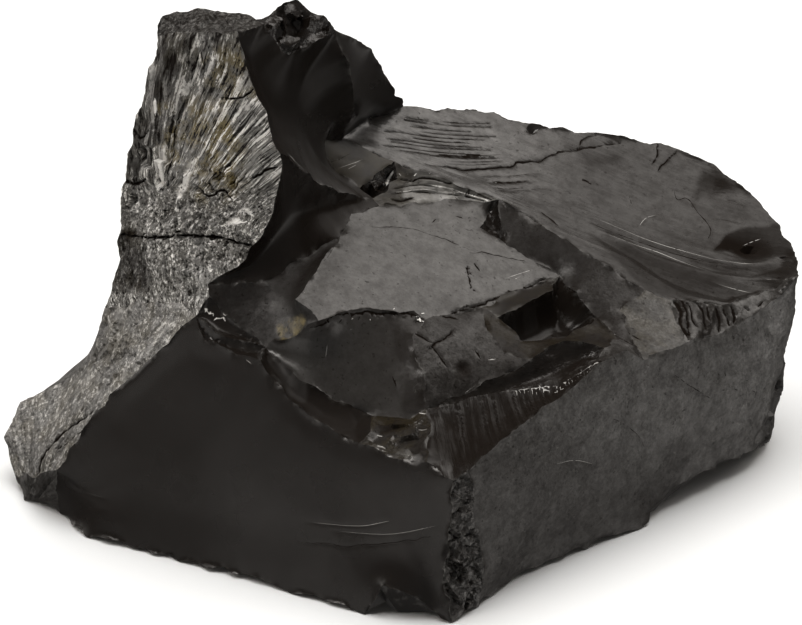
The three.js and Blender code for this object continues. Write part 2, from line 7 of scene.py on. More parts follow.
import bpy
import numpy as np
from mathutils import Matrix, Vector
from mathutils.geometry import delaunay_2d_cdt
from mathutils.kdtree import KDTree


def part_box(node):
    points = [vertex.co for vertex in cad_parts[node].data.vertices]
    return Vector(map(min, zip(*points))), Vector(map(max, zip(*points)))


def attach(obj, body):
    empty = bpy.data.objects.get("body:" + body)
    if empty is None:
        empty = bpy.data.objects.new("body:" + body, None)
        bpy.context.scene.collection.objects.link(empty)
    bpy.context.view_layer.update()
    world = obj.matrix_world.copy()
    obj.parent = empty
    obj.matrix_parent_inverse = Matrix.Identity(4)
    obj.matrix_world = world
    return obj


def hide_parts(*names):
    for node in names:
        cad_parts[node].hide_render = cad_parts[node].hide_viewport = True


bl_info = {
    "name": "Shungite Stone",
    "version": (1, 0, 0),
    "blender": (4, 5, 0),
    "location": "View3D > Sidebar > Stone",
    "description": "Builds a broken piece of glassy black shungite and a plain stage",
    "category": "Add Mesh",
}

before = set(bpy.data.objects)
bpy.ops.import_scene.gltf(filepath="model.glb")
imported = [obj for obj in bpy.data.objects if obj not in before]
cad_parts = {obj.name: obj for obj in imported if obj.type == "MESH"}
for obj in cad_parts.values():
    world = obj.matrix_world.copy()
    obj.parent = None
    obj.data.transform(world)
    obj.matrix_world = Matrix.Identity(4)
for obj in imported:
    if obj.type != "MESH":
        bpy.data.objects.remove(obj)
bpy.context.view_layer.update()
BOX_LOW, BOX_HIGH = np.array(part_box("stone"))
MM = 0.001

# ---- driving dimensions, in mm and degrees ----
DRAWING_TILT = 27.5  # how far the drawing of the corners leans back from level
FACE_LEAN = 16  # the big front-left face leans back by this much
FACE_BEARING = 30  # and its foot line runs back to the left at this angle
SLAB_FALL_RIGHT = 0.31  # the slab falls to the right by this much per mm,
SLAB_RISE_BACK = 0.226  # and climbs to the back by this much per mm
SLAB_HEIGHT = 22.65  # height of the slab's plane over the origin
PLATEAU_FALL_RIGHT = 0.38  # the same three for the plateau
PLATEAU_RISE_BACK = 0.3
PLATEAU_HEIGHT = 19.1
RIDGE_STEP = 1.3  # longest straight stretch of a ridge before its fine chips
CHIP = 0.28  # how far the solid's chips move a ridge
FINE_CHIP = 0.07  # how far the fine chips move a ridge
FAN_RADIUS = 12.0  # at this distance out, distances round a fan are true
SPLAY_SPREAD = 2.2  # a splay is this much wider at its top, less one
SPLAY_HEIGHT = 24.0  # from its foot to its top
SPLAY_WIDTH = 2.0  # a splay is drawn out this much, as its streaks widen upwards
SPLAY_FOOT = 7.0  # below this height its streaks are short and crushed
FLOOR_GAP = 0.05  # from the stone down to the floor
TILT_SIN = math.sin(math.radians(DRAWING_TILT))
TILT_COS = math.cos(math.radians(DRAWING_TILT))

# ---- mesh, in mm and degrees ----
SPACING = {"finest": 0.22, "rough": 0.28, "fine": 0.34, "even": 0.42, "wide": 0.5,
           "plain": 0.9, "foot": 2.5}  # between the points inside a face
ROW_SHARE = 0.87  # rows of points are this much closer than the points in a row
RIM_STEP = 0.36  # between the points of a ridge
RIM_FLANK = 0.16  # from a ridge to the row of points beside it
LINE_STEP = 0.25  # between the points of a drawn line
AREA_STEP = 0.5  # between the points round a shade, a stain or a comb
LINE_CLEAR = 0.15  # kept free of other points beside a drawn line
CHIP_REACH = 0.2  # how far into a face the chips of its ridges reach
EDGE_REACH = 0.12  # how far from a ridge its crumbling reaches
LEAST_HEIGHT = 0.05  # every face but the underside stays this far off the ground
SHARP_FROM = 32  # the stone is creased where its surface turns more than this
FIRM_EDGE = 0.5  # a shade whose edge is softer than this needs no points along it
FAR = 6.0  # half-widths: beyond this a drawn line has no effect
TINY = 1e-12  # keeps a length from being 0 where it divides
CHUNK = 2000  # points worked on at once

# ---- repeatable scatter ----
CELL_MIX = np.array([374761393, 668265263, 2147483647])
STIR = 1274126177
LOW_BITS = 0xFFFFFF
WAVE = (12.9898, 78.233, 37.719)
WAVE_HEIGHT = 43758.5453


def at(across, rise, back):
    """A corner by its place across and up the drawing, and its distance behind the foot."""
    return (across, back, (rise - TILT_SIN * back) / TILT_COS)


def on(plane, across, rise):
    """A corner on a plane, where z = height + slope_x * x + slope_y * y."""
    slope_x, slope_y, height = plane
    top = rise / TILT_COS - height - slope_x * across
    return at(across, rise, top / (slope_y + TILT_SIN / TILT_COS))


def ground(across, rise):
    """A corner on the ground, by its place across and up the drawing."""
    return at(across, rise, rise / TILT_SIN)


def hidden(across, back, up):
    """A corner on the far side, which the drawing doesn't show."""
    return (across, back, up)


def steep_plane(across, back, bearing, lean):
    """The plane of a steep face, from a point of its foot line, its bearing and its lean."""
    steep = 1 / math.tan(math.radians(lean))
    slope_x = math.sin(math.radians(bearing)) * steep
    slope_y = math.cos(math.radians(bearing)) * steep
    return (slope_x, slope_y, -slope_x * across - slope_y * back)


FRONT_LEFT = steep_plane(-5.1, 2.2, FACE_BEARING, FACE_LEAN)
SLAB = (-SLAB_FALL_RIGHT, SLAB_RISE_BACK, SLAB_HEIGHT)
PLATEAU = (-PLATEAU_FALL_RIGHT, PLATEAU_RISE_BACK, PLATEAU_HEIGHT)

# ---- the corners ----
CORNERS = dict(
    # near corner, crushed from top to foot
    nearFoot=ground(5.1, 0.1),
    footRight=ground(7.7, 1.6),
    crushLeftLow=at(4.2, 4.5, 0.4),
    crushLeftMiddle=at(4.6, 8, 0.6),
    crushLeftHigh=at(5.1, 11.5, 0.9),
    nearTopLeft=at(5.2, 14.2, 1.1),
    crushRightLow=at(8.1, 4.5, 3.4),
    crushRightMiddle=at(7.8, 8, 3),
    crushRightHigh=at(7.2, 12, 2.7),
    nearTopRight=at(6.6, 15.1, 2.4),

    # foot line of the front-left face, with one chip out of it
    chipRight=at(3.2, 1.3, 1),
    chipHigh=at(1.2, 2.8, 0.6),
    chipTop=at(-1.8, 3.8, 1.4),
    chipLeft=ground(-3.5, 0.9),
    soleInner=ground(-11.1, 3),
    soleMiddle=ground(-22.1, 6),
    soleOuter=ground(-31.3, 8.3),
    toeInner=ground(-34, 10.6),
    toe=ground(-37.7, 11.9),

    # where the front-left face meets the arm
    armLow=on(FRONT_LEFT, -34.3, 15),
    armBelow=on(FRONT_LEFT, -32.1, 17.9),
    armMiddle=on(FRONT_LEFT, -28.9, 22.6),
    armAbove=on(FRONT_LEFT, -24, 26.9),
    peak=on(FRONT_LEFT, -20.3, 30.3),

    # top edge of the front-left face, from the peak down to the near corner
    slitLeft=on(FRONT_LEFT, -19.4, 27.9),
    slitRight=on(FRONT_LEFT, -13.8, 25.9),
    gutterHigh=on(FRONT_LEFT, -11, 22.1),
    gutterMiddle=on(FRONT_LEFT, -7.5, 19.7),
    gutterLow=on(FRONT_LEFT, -4.1, 17.8),
    gutterEnd=on(FRONT_LEFT, -0.2, 16.3),
    bandFoot=on(FRONT_LEFT, 2.6, 16),

    # outer side of the arm
    armEnd=at(-36.4, 14.2, 24),
    toeTip=at(-38.7, 14.5, 29),
    armOuterLow=at(-39.8, 18.2, 31),
    armOuterMiddle=at(-38.2, 21.7, 34),
    armOuterHigh=at(-33.2, 24, 32),
    armNeck=at(-31, 26, 29.5),
    armShoulder=at(-29.6, 31, 30.5),
    shoulderLeft=at(-26, 31.8, 25.5),
    shoulderRight=at(-22.6, 31.8, 22.3),

    # left side of the tower
    towerLow=at(-28.3, 35, 32),
    towerLeft=at(-27.9, 40.5, 33),
    towerHigh=at(-27.2, 46.5, 33.5),
    towerUpper=at(-25.4, 52.5, 34.5),
    capLeft=at(-24.1, 58, 34),

    # right edge of the tower's rough face
    hipLow=at(-18.9, 32.3, 19.8),
    hipNotch=at(-19.1, 33.5, 20.6),
    hipHigh=at(-16.1, 35.2, 20.4),
    chestLow=at(-13.9, 38, 20.6),
    chestMiddle=at(-12.6, 40.6, 21),
    chestHigh=at(-11.9, 43.8, 21.6),
    tongue=at(-11.9, 46.4, 22.4),
    neckLow=at(-13.1, 49.6, 23.8),
    neckMiddle=at(-14.5, 53, 25.4),
    neckHigh=at(-15.3, 55.6, 26.4),
    capCorner=at(-16.1, 58.5, 27.4),

    # top of the tower
    capFront=at(-20.2, 58.4, 30.6),
    capTipLeft=at(-23.6, 60.1, 35),
    capTop=at(-20.1, 60.9, 35),
    capTopRight=at(-16, 60.4, 34),
    capEnd=at(-13.6, 59.2, 31.5),
    crestRise=at(-12.4, 60.7, 35),
    crestTip=at(-10.4, 61.8, 36),
    crestGap=at(-8.9, 60.4, 36.2),
    crestRight=at(-7.6, 60.2, 36.6),
    crestEnd=at(-6.5, 58.7, 37),
    lumpLeft=at(-12.5, 57.8, 31.6),
    lumpLow=at(-11, 56.2, 32),
    lumpRight=at(-8.4, 57.6, 34),

    # dark spike behind the scoop
    spikeTop=at(-4.4, 57.9, 38.5),
    spikeShoulder=at(-2.9, 57, 40),
    spikeSide=at(-1.1, 53.8, 43.5),
    spikeEnd=at(0.3, 51.4, 46.6),
    spikeFoot=on(SLAB, -5.8, 48),
    spikeSlit=at(-4.6, 50.8, 38.6),
    spikeInner=at(-4.8, 53.6, 37),
    spikeRise=at(-5.6, 56.3, 36.6),
    slabStart=on(SLAB, -3.1, 50.3),

    # lower crest of the tower's scoop
    crestLineHigh=at(-10.1, 45.1, 25.2),
    crestLineMiddle=at(-7.9, 43.4, 28.4),
    crestLineLow=at(-5.2, 42.6, 31.2),
    crestLineEnd=at(-2.8, 42.1, 33.4),
    wedgeTop=at(-8, 47.9, 37.5),
    wedgeSide=at(-7, 45.5, 36.4),
    wedgeLow=at(-4.1, 43.1, 34.6),
    recessRight=at(-0.3, 44, 37.4),

    # the slab: its fold edge in front, then its rim round the back
    foldStart=on(SLAB, -0.6, 45.8),
    foldLeft=on(SLAB, 3.6, 44.3),
    foldMiddle=on(SLAB, 7, 43),
    foldCorner=on(SLAB, 9.8, 42),
    foldRight=on(SLAB, 14.9, 38.9),
    foldFar=on(SLAB, 19.9, 35.8),
    foldEnd=on(SLAB, 24.4, 33),
    bevelStart=on(SLAB, 26.8, 32),
    bevelMiddle=on(SLAB, 33, 31.6),
    bevelEnd=on(SLAB, 36.6, 33),
    tip=at(39.9, 34.4, 36.4),
    rimTip=on(SLAB, 39.5, 36.9),
    rimFirst=on(SLAB, 38.2, 39.5),
    rimSecond=on(SLAB, 35.7, 42.3),
    rimThird=on(SLAB, 31.6, 45.7),
    rimFourth=on(SLAB, 26.3, 47.8),
    rimFifth=on(SLAB, 18.5, 48.8),
    rimNotch=on(SLAB, 12.6, 49.8),
    rimLast=on(SLAB, 9.4, 50.9),

    # the plateau
    plateauFront=on(PLATEAU, -8.1, 29.9),
    plateauLip=on(PLATEAU, -5, 31),
    plateauEdge=on(PLATEAU, 1.3, 30.9),
    plateauNick=on(PLATEAU, 2.5, 30),
    plateauRight=on(PLATEAU, 8.3, 31.3),
    plateauBrow=on(PLATEAU, 12, 33),
    plateauTip=on(PLATEAU, 15.9, 34.3),
    plateauStep=on(PLATEAU, 12.4, 36.3),
    nookLow=on(PLATEAU, 10.6, 37.4),
    nookLeft=on(PLATEAU, 7.9, 39.2),
    nookHigh=on(PLATEAU, 8.8, 40.9),
    nookEdge=at(10, 39.6, 35),
    bandRight=on(PLATEAU, 5.9, 42),
    bandMiddle=on(PLATEAU, 1, 41.7),
    plateauBack=on(PLATEAU, -2.1, 41.3),
    plateauCorner=on(PLATEAU, -4.9, 40.5),
    plateauLeft=on(PLATEAU, -6, 38.2),
    plateauSide=on(PLATEAU, -8.3, 34.8),
    plateauEnd=on(PLATEAU, -10.4, 32),

    # the valley between tower and plateau
    valleyFar=at(-8.6, 36.6, 24.4),
    valleyNear=at(-14, 33.6, 20.6),
    basinHigh=at(-17.7, 30.6, 19.4),
    basinLow=at(-15.5, 28.9, 18.2),
    basinFoot=at(-13.3, 27.2, 16.6),
    basinLip=at(-10.6, 28.3, 15.6),
    ledgeMiddle=at(-17.4, 28.3, 17.6),

    # the scooped brown face below the plateau
    scoopLow=at(-10.1, 24.1, 13.6),
    scoopFoot=at(-6.6, 22, 12.2),
    scoopBase=at(-2.8, 20.5, 11.2),
    scoopEnd=at(0.9, 20.2, 10.6),
    scoopCorner=at(2.5, 21.2, 11.4),
    scoopEdge=at(2.2, 24.8, 13.6),
    scoopHigh=at(1.2, 28.4, 16.8),
    paleTop=at(-2.9, 19, 8.4),
    bandStart=at(3, 19, 7.8),

    # the middle face, the notch beside it and the slot under it
    middleLow=at(5.9, 22.4, 13.4),
    middleRight=at(9.9, 24.4, 15),
    middleEnd=at(12.9, 26, 16.6),
    lipLow=at(10.2, 26.8, 17.4),
    lipHigh=at(8.9, 28.6, 19.4),
    hollowLeft=at(9.6, 30.2, 22.2),
    hollowLow=at(11.9, 27.9, 19.6),
    hollowRight=at(16.5, 28.3, 21.8),
    hollowEnd=at(18.4, 29.4, 24),
    hollowRoof=at(12.6, 31.7, 24.6),
    hollowTop=at(15.2, 32.9, 27.6),
    stepLow=at(17.5, 32.8, 28.6),
    stepFoot=at(19.4, 30.2, 26.4),
    stepEnd=at(21.6, 28, 22.4),
    lipRight=at(16.2, 27.9, 19.4),
    slotEnd=at(20.2, 27.2, 19),
    slotTip=at(19.6, 26.2, 17.6),
    slotRight=at(16.9, 24.8, 16.4),
    slotMiddle=at(13.4, 23.5, 14),
    slotLow=at(9.4, 22.8, 12.6),
    slotStart=at(5.6, 21.8, 11.2),

    # top edge of the front-right face
    browLow=at(8, 16.5, 3.8),
    browMiddle=at(11.4, 19.2, 7.6),
    browHigh=at(15.9, 22.4, 12.4),
    browEnd=at(20, 25.8, 16.6),
    browPeak=at(22.4, 27, 18.6),
    beak=at(24.2, 26, 20),
    beakRight=at(27.1, 27.1, 22.8),
    bevelFoot=at(32.1, 28.7, 28.2),
    bevelLow=at(36.3, 31.2, 32.6),
    chipInner=at(28.4, 27.7, 24.2),
    chipSide=at(27.3, 30.1, 27),
    chipCorner=at(21.8, 30.9, 27),

    # foot line and far edge of the front-right face
    rimFoot=ground(10.8, 4),
    rimFootMiddle=ground(18.6, 7.2),
    rimFootRight=ground(23.9, 9.1),
    rimFootRise=at(26.4, 12.2, 23.2),
    rimFootFar=at(30.4, 14.9, 27),
    heelFoot=at(35.4, 16.8, 32.2),
    heelLow=at(37, 21, 33.6),
    heelMiddle=at(38.4, 25.6, 35),
    heelHigh=at(39.3, 29.4, 35.8),

    # end of the stone, behind the front-right face
    endFoot=at(37.2, 17.7, 38),
    endSide=at(38.2, 21.8, 40),
    endTop=at(38.8, 25.4, 41),

    # the far side
    groundRight=hidden(31, 37, 0),
    groundBackRight=hidden(22, 48, 0),
    groundBack=hidden(3, 52, 0),
    groundBackLeft=hidden(-17, 47, 0),
    groundLeft=hidden(-31, 36, 0),
    waistRight=hidden(36.5, 47, 9),
    waistBackRight=hidden(23, 56.5, 13),
    waistBack=hidden(2, 59.5, 15),
    waistBackLeft=hidden(-18, 54, 17),
    waistLeft=hidden(-34.5, 40.5, 3),
    towerBack=hidden(-19, 45, 41),
    crestBack=hidden(-7, 47, 40),
)

# ---- the fracture faces: loops of corners, anticlockwise from outside ----
LOOPS = dict(
    frontLeft="""toeInner soleOuter soleMiddle soleInner chipLeft chipTop chipHigh chipRight
        nearFoot crushLeftLow crushLeftMiddle crushLeftHigh nearTopLeft bandFoot gutterEnd gutterLow
        gutterMiddle gutterHigh slitRight slitLeft peak armAbove armMiddle armBelow armLow""",
    nearCorner="""nearFoot footRight crushRightLow crushRightMiddle crushRightHigh nearTopRight
        nearTopLeft crushLeftHigh crushLeftMiddle crushLeftLow""",
    frontRight="""footRight rimFoot rimFootMiddle rimFootRight rimFootRise rimFootFar heelFoot
        heelLow heelMiddle heelHigh tip bevelLow bevelFoot chipInner beakRight beak browPeak browEnd
        browHigh browMiddle browLow nearTopRight crushRightHigh crushRightMiddle crushRightLow""",
    armToe="toe toeInner armLow armEnd toeTip",
    arm="""armLow armBelow armMiddle armAbove peak shoulderRight shoulderLeft armShoulder armNeck
        armOuterHigh armOuterMiddle armOuterLow toeTip armEnd""",
    towerFace="""armShoulder shoulderLeft shoulderRight peak hipLow hipNotch hipHigh chestLow
        chestMiddle chestHigh tongue neckLow neckMiddle neckHigh capCorner capFront capLeft
        towerUpper towerHigh towerLeft towerLow""",
    towerCap="capLeft capFront capCorner capEnd capTopRight capTop capTipLeft",
    towerScoop="""tongue crestLineHigh crestLineMiddle crestLineLow crestLineEnd wedgeLow wedgeSide
        wedgeTop spikeFoot spikeSlit spikeInner spikeRise crestEnd lumpRight lumpLow lumpLeft capEnd
        capCorner neckHigh neckMiddle neckLow""",
    crestLump="lumpLeft lumpLow lumpRight crestEnd crestRight crestGap crestTip crestRise capEnd",
    spike="""spikeFoot slabStart spikeEnd spikeSide spikeShoulder spikeTop crestEnd spikeRise
        spikeInner spikeSlit""",
    wedge="wedgeTop wedgeSide wedgeLow foldStart spikeFoot",
    recess="wedgeLow crestLineEnd recessRight foldStart",
    stripedBand="""crestLineEnd plateauBack bandMiddle bandRight foldCorner foldMiddle foldLeft
        foldStart recessRight""",
    slab="""spikeFoot foldStart foldLeft foldMiddle foldCorner foldRight foldFar foldEnd bevelStart
        bevelMiddle bevelEnd tip rimTip rimFirst rimSecond rimThird rimFourth rimFifth rimNotch
        rimLast spikeEnd slabStart""",
    slabBevel="chipInner bevelFoot bevelLow tip bevelEnd bevelMiddle bevelStart chipSide",
    slabChip="beak beakRight chipInner chipSide bevelStart foldEnd chipCorner",
    slabStep="""foldCorner nookEdge nookLow plateauStep plateauTip stepLow stepFoot stepEnd beak
        chipCorner foldEnd foldFar foldRight""",
    plateauNook="foldCorner nookHigh nookLeft nookLow nookEdge",
    plateau="""plateauFront plateauLip plateauEdge plateauNick plateauRight plateauBrow plateauTip
        plateauStep nookLow nookLeft nookHigh foldCorner bandRight bandMiddle plateauBack
        plateauCorner plateauLeft plateauSide plateauEnd""",
    valleyWall="""hipNotch valleyNear valleyFar plateauLeft plateauCorner plateauBack crestLineEnd
        crestLineLow crestLineMiddle crestLineHigh tongue chestHigh chestMiddle chestLow hipHigh""",
    basin="""hipLow basinHigh basinLow basinFoot basinLip plateauFront plateauEnd plateauSide
        plateauLeft valleyFar valleyNear hipNotch""",
    ledgeUpper="peak ledgeMiddle basinFoot basinLow basinHigh hipLow",
    ledgeLower="peak slitLeft slitRight basinFoot ledgeMiddle",
    scoop="""basinFoot scoopLow scoopFoot scoopBase scoopEnd scoopCorner scoopEdge scoopHigh
        plateauNick plateauEdge plateauLip plateauFront basinLip""",
    gutter="""slitRight gutterHigh gutterMiddle gutterLow paleTop scoopBase scoopFoot scoopLow
        basinFoot""",
    paleFacet="gutterLow gutterEnd bandFoot bandStart scoopCorner scoopEnd scoopBase paleTop",
    middle="""scoopCorner middleLow middleRight middleEnd lipLow lipHigh plateauRight plateauNick
        scoopHigh scoopEdge""",
    slot="""scoopCorner slotStart slotLow slotMiddle slotRight slotTip slotEnd lipRight middleEnd
        middleRight middleLow""",
    hackledBand="""bandFoot nearTopLeft nearTopRight browLow browMiddle browHigh browEnd slotTip
        slotRight slotMiddle slotLow slotStart scoopCorner bandStart""",
    browFacet="browEnd browPeak beak stepEnd slotEnd slotTip",
    notchLip="""middleEnd lipRight slotEnd stepEnd stepFoot hollowEnd hollowRight hollowLow
        hollowLeft plateauRight lipHigh lipLow""",
    notchHollow="""hollowLeft hollowLow hollowRight hollowEnd stepFoot stepLow plateauTip hollowTop
        hollowRoof""",
    notchRoof="plateauRight hollowLeft hollowRoof hollowTop plateauTip plateauBrow",
    endFace="heelFoot endFoot endSide endTop heelMiddle heelLow",
    undercut="rimFootRight groundRight endFoot heelFoot rimFootFar rimFootRise",
    backRightLow="groundRight groundBackRight waistBackRight waistRight endSide endFoot",
    backEnd="""rimThird rimSecond rimFirst rimTip tip heelHigh heelMiddle endTop endSide waistRight
        waistBackRight""",
    backSlab="spikeEnd rimLast rimNotch rimFifth rimFourth rimThird waistBackRight waistBack",
    backLow="groundBackRight groundBack waistBack waistBackRight",
    backLowLeft="groundBackLeft waistBackLeft waistBack groundBack",
    towerBackRight="""crestTip crestGap crestRight crestEnd spikeTop spikeShoulder spikeSide
        spikeEnd waistBack crestBack""",
    towerBackMiddle="""capTop capTopRight capEnd crestRise crestTip crestBack waistBack
        waistBackLeft towerBack""",
    towerSide="""armShoulder towerLow towerLeft towerHigh towerUpper capLeft capTipLeft capTop
        towerBack waistBackLeft""",
    armBack="""toeTip armOuterLow armOuterMiddle armOuterHigh armNeck armShoulder waistBackLeft
        waistLeft""",
    leftLow="toe toeTip waistLeft groundLeft",
    leftBackLow="groundLeft waistLeft waistBackLeft groundBackLeft",
    underside="""groundRight rimFootRight rimFootMiddle rimFoot footRight nearFoot chipRight
        chipHigh chipTop chipLeft soleInner soleMiddle soleOuter toeInner toe groundLeft
        groundBackLeft groundBack groundBackRight""",
)


# ---- noise and small helpers; all lengths here are mm ----
def smooth(low, high, value):
    """0 below low, 1 above high, and an even slope between."""
    share = np.clip((value - low) / (high - low), 0, 1)
    return share * share * (3 - 2 * share)


def lattice(cell, salt):
    """A repeatable number from 0 to 1 for each whole-numbered cell."""
    mixed = (cell * CELL_MIX).sum(1) + salt * STIR
    mixed = (mixed ^ (mixed >> 13)) * STIR
    mixed = mixed ^ (mixed >> 16)
    return (mixed & LOW_BITS).astype(float) / LOW_BITS


def noise(points, size, salt=0):
    """Even noise from -1 to 1 whose lumps are about size across."""
    place = points / size
    cell = np.floor(place).astype(np.int64)
    share = place - cell
    share = share * share * (3 - 2 * share)
    total = np.zeros(len(points))
    for corner in np.ndindex(2, 2, 2):
        weight = np.ones(len(points))
        for axis in range(3):
            weight = weight * (share[:, axis] if corner[axis] else 1 - share[:, axis])
        total += weight * lattice(cell + np.array(corner), salt)
    return 2 * total - 1


def layered(points, size, layers, salt=0):
    """Noise with finer noise on it, each layer half the size and half the height."""
    total = np.zeros(len(points))
    for layer in range(layers):
        total += noise(points, size / 2**layer, salt + layer) / 2**layer
    return total


def facets(points, size, salt=0):
    """Crushed stone: small flat facets at scattered heights, from -1 to 1."""
    cell = np.floor(points / size).astype(np.int64)
    best = np.full(len(points), np.inf)
    height = np.zeros(len(points))
    for step in np.ndindex(3, 3, 3):
        near = cell + np.array(step) - 1
        seed = np.stack([lattice(near, salt + k) for k in range(3)], 1)
        offset = points - (near + seed) * size
        distance = (offset**2).sum(1)
        tilt = np.stack([lattice(near, salt + 3 + k) * 2 - 1 for k in range(3)], 1)
        plane = (offset * tilt).sum(1) / size + lattice(near, salt + 6) - 0.5
        closer = distance < best
        height = np.where(closer, plane, height)
        best = np.where(closer, distance, best)
    return height


def scatter(point, salt):
    """A repeatable number from -1 to 1 for a place in space."""
    turn = point[0] * WAVE[0] + point[1] * WAVE[1] + point[2] * WAVE[2] + salt
    wave = math.sin(turn) * WAVE_HEIGHT
    return 2 * (wave - math.floor(wave)) - 1


# ---- ridges ----
def coarse_ridge(start, end):
    """A ridge in straight chipped lengths, as the solid has it."""
    start, end = Vector(start), Vector(end)
    count = max(1, math.floor((end - start).length / RIDGE_STEP + 0.5))
    on_ground = start.z < 0.01 and end.z < 0.01
    points = []
    for i in range(count + 1):
        point = start.lerp(end, i / count)
        if 0 < i < count:
            chip = Vector([scatter(point, salt) for salt in (1, 2, 3)])
            point = point + chip * CHIP
            if on_ground:
                point.z = CHIP * (1.5 + scatter(point, 4))
        points.append(point)
    return points


def fine_ridge(first, last, step):
    """The points from one corner to the next, both with them, with fine chips added."""
    coarse = coarse_ridge(CORNERS[first], CORNERS[last])
    points = []
    for start, end in zip(coarse, coarse[1:]):
        count = max(1, round((end - start).length / step))
        for i in range(count):
            point = start.lerp(end, i / count)
            if i:
                bow = 4 * (i / count) * (1 - i / count)
                chip = Vector([scatter(point, salt) for salt in (6, 7, 8)])
                point = point + chip * FINE_CHIP * bow
                point.z = max(point.z, 0)
            points.append(tuple(point))
    return points + [tuple(coarse[-1])]


RIDGE_CACHE = {}


def ridge(first, last, step):
    """The same fine points for a ridge whichever face asks for them."""
    low, high = min(first, last), max(first, last)
    if (low, high) not in RIDGE_CACHE:
        RIDGE_CACHE[low, high] = fine_ridge(low, high, step)
    points = RIDGE_CACHE[low, high]
    return points[:-1] if first == low else points[:0:-1]


# ---- faces ----
class FaceFrame:
    """A face laid flat: its middle, its outward normal and two directions along it."""

    def __init__(self, rim):
        after = np.roll(rim, -1, 0)
        self.middle = rim.mean(0)
        self.normal = np.cross(rim, after).sum(0)
        self.normal /= np.linalg.norm(self.normal)
        side = np.array([0, 0, 1.0] if abs(self.normal[2]) < 0.9 else [0, 1.0, 0])
        self.right = np.cross(side, self.normal)
        self.right /= np.linalg.norm(self.right)
        self.up = np.cross(self.normal, self.right)
        self.axes = np.stack([self.right, self.up, self.normal])

    def flatten(self, points):
        """Points as (right, up, height) over the face's middle."""
        return (points - self.middle) @ self.axes.T

    def lift(self, flat):
        """The same points back in the stone."""
        return self.middle + flat @ self.axes


def depth_inside(points, outline):
    """Distance from each flat point to the outline, negative outside it."""
    nearest = np.full(len(points), np.inf)
    inside = np.zeros(len(points), bool)
    for (ax, ay), (bx, by) in zip(outline, np.roll(outline, -1, 0)):
        run = np.array([bx - ax, by - ay])
        offset = points - (ax, ay)
        along = np.clip(offset @ run / max(run @ run, TINY), 0, 1)
        nearest = np.minimum(nearest, np.linalg.norm(offset - along[:, None] * run, axis=1))
        crosses = (ay > points[:, 1]) != (by > points[:, 1])
        if crosses.any():
            reach = ax + (points[:, 1] - ay) / (by - ay if by != ay else TINY) * (bx - ax)
            inside ^= crosses & (points[:, 0] < reach)
    return np.where(inside, nearest, -nearest)


def span_height(points, outline):
    """Height over each flat point, from the heights of the outline (mean value coordinates)."""
    result = np.zeros(len(points))
    for start in range(0, len(points), CHUNK):
        part = points[start : start + CHUNK]
        offset = outline[None, :, :2] - part[:, None]
        after = np.roll(offset, -1, 1)
        cross = offset[..., 0] * after[..., 1] - offset[..., 1] * after[..., 0]
        dot = (offset * after).sum(2)
        tangent = np.tan(np.arctan2(cross, dot) / 2)
        weight = (np.roll(tangent, 1, 1) + tangent) / np.linalg.norm(offset, axis=2)
        result[start : start + CHUNK] = (weight * outline[None, :, 2]).sum(1) / weight.sum(1)
    return result


def fill_points(outline, step, clear):
    """Points in even staggered rows inside the outline, clear of its edge."""
    low, high = outline.min(0), outline.max(0)
    rows = np.arange(low[1], high[1], step * ROW_SHARE)
    columns = np.arange(low[0], high[0] + step, step)
    grid = np.array([(x - (row % 2) * step / 2, y) for row, y in enumerate(rows) for x in columns])
    return grid[depth_inside(grid, outline) > clear]


class Spot:
    """Where a face's points are: in the stone, on the drawing and how deep within the face."""

    def __init__(self, points, depth):
        self.points = points
        self.depth = depth
        self.across = points[:, 0]
        self.rise = points[:, 2] * TILT_COS + points[:, 1] * TILT_SIN
        self.drawn = np.column_stack([self.across, self.rise])


# ---- forms: what stands out of a face or sinks into it, in mm along its normal ----
def settle(spot, width):
    """0 on a ridge, rising to 1 at this distance inside it."""
    return smooth(0, width, spot.depth)


def along_line(spot, line):
    """Distance from a line on the drawing, negative below it, and the share run along it."""
    place = spot.drawn
    line = np.array(line, float)
    lengths = np.linalg.norm(np.diff(line, axis=0), axis=1)
    nearest = np.full(len(place), np.inf)
    signed = np.zeros(len(place))
    share = np.zeros(len(place))
    passed = 0.0
    for start, end, length in zip(line, line[1:], lengths):
        run = (end - start) / length
        offset = place - start
        along = np.clip(offset @ run, 0, length)
        away = offset - along[:, None] * run
        distance = np.linalg.norm(away, axis=1)
        side = run[0] * offset[:, 1] - run[1] * offset[:, 0]
        closer = distance < nearest
        signed = np.where(closer, np.where(side < 0, -distance, distance), signed)
        share = np.where(closer, (passed + along) / lengths.sum(), share)
        nearest = np.minimum(nearest, distance)
        passed += length
    return signed, share


def line_length(line):
    """The length of a line, in mm."""
    return np.linalg.norm(np.diff(np.array(line, float), axis=0), axis=1).sum()


def fan(spot, middle):
    """Where each point lies in a fan: how far round it, as mm at FAN_RADIUS, and how far out."""
    across, rise = spot.across - middle[0], spot.rise - middle[1]
    return np.arctan2(across, rise) * FAN_RADIUS, np.hypot(across, rise)


def splay(spot, foot):
    """Streaks that stand upright at their foot and bend outwards as they climb."""
    across, rise = spot.across - foot[0], spot.rise - foot[1]
    low = 1 - smooth(SPLAY_FOOT - 3, SPLAY_FOOT + 2, rise)
    side = across / (1 + SPLAY_SPREAD * smooth(0, SPLAY_HEIGHT, rise)) * SPLAY_WIDTH
    side = side + low * 0.4 * noise(spot.points, 1.3, 14)
    run = rise - SPLAY_FOOT
    return side, np.where(run < 0, 4 * run, run)


def level(across, along):
    """Places on a level plane, for noise that is drawn out along one way of it."""
    return np.column_stack([across, along, np.zeros(len(along))])


def spread_grain(spot, field, stretch):
    """Grain that runs along the streaks of a field."""
    side, run = field[0](spot, field[1])
    return level(side, run / stretch)


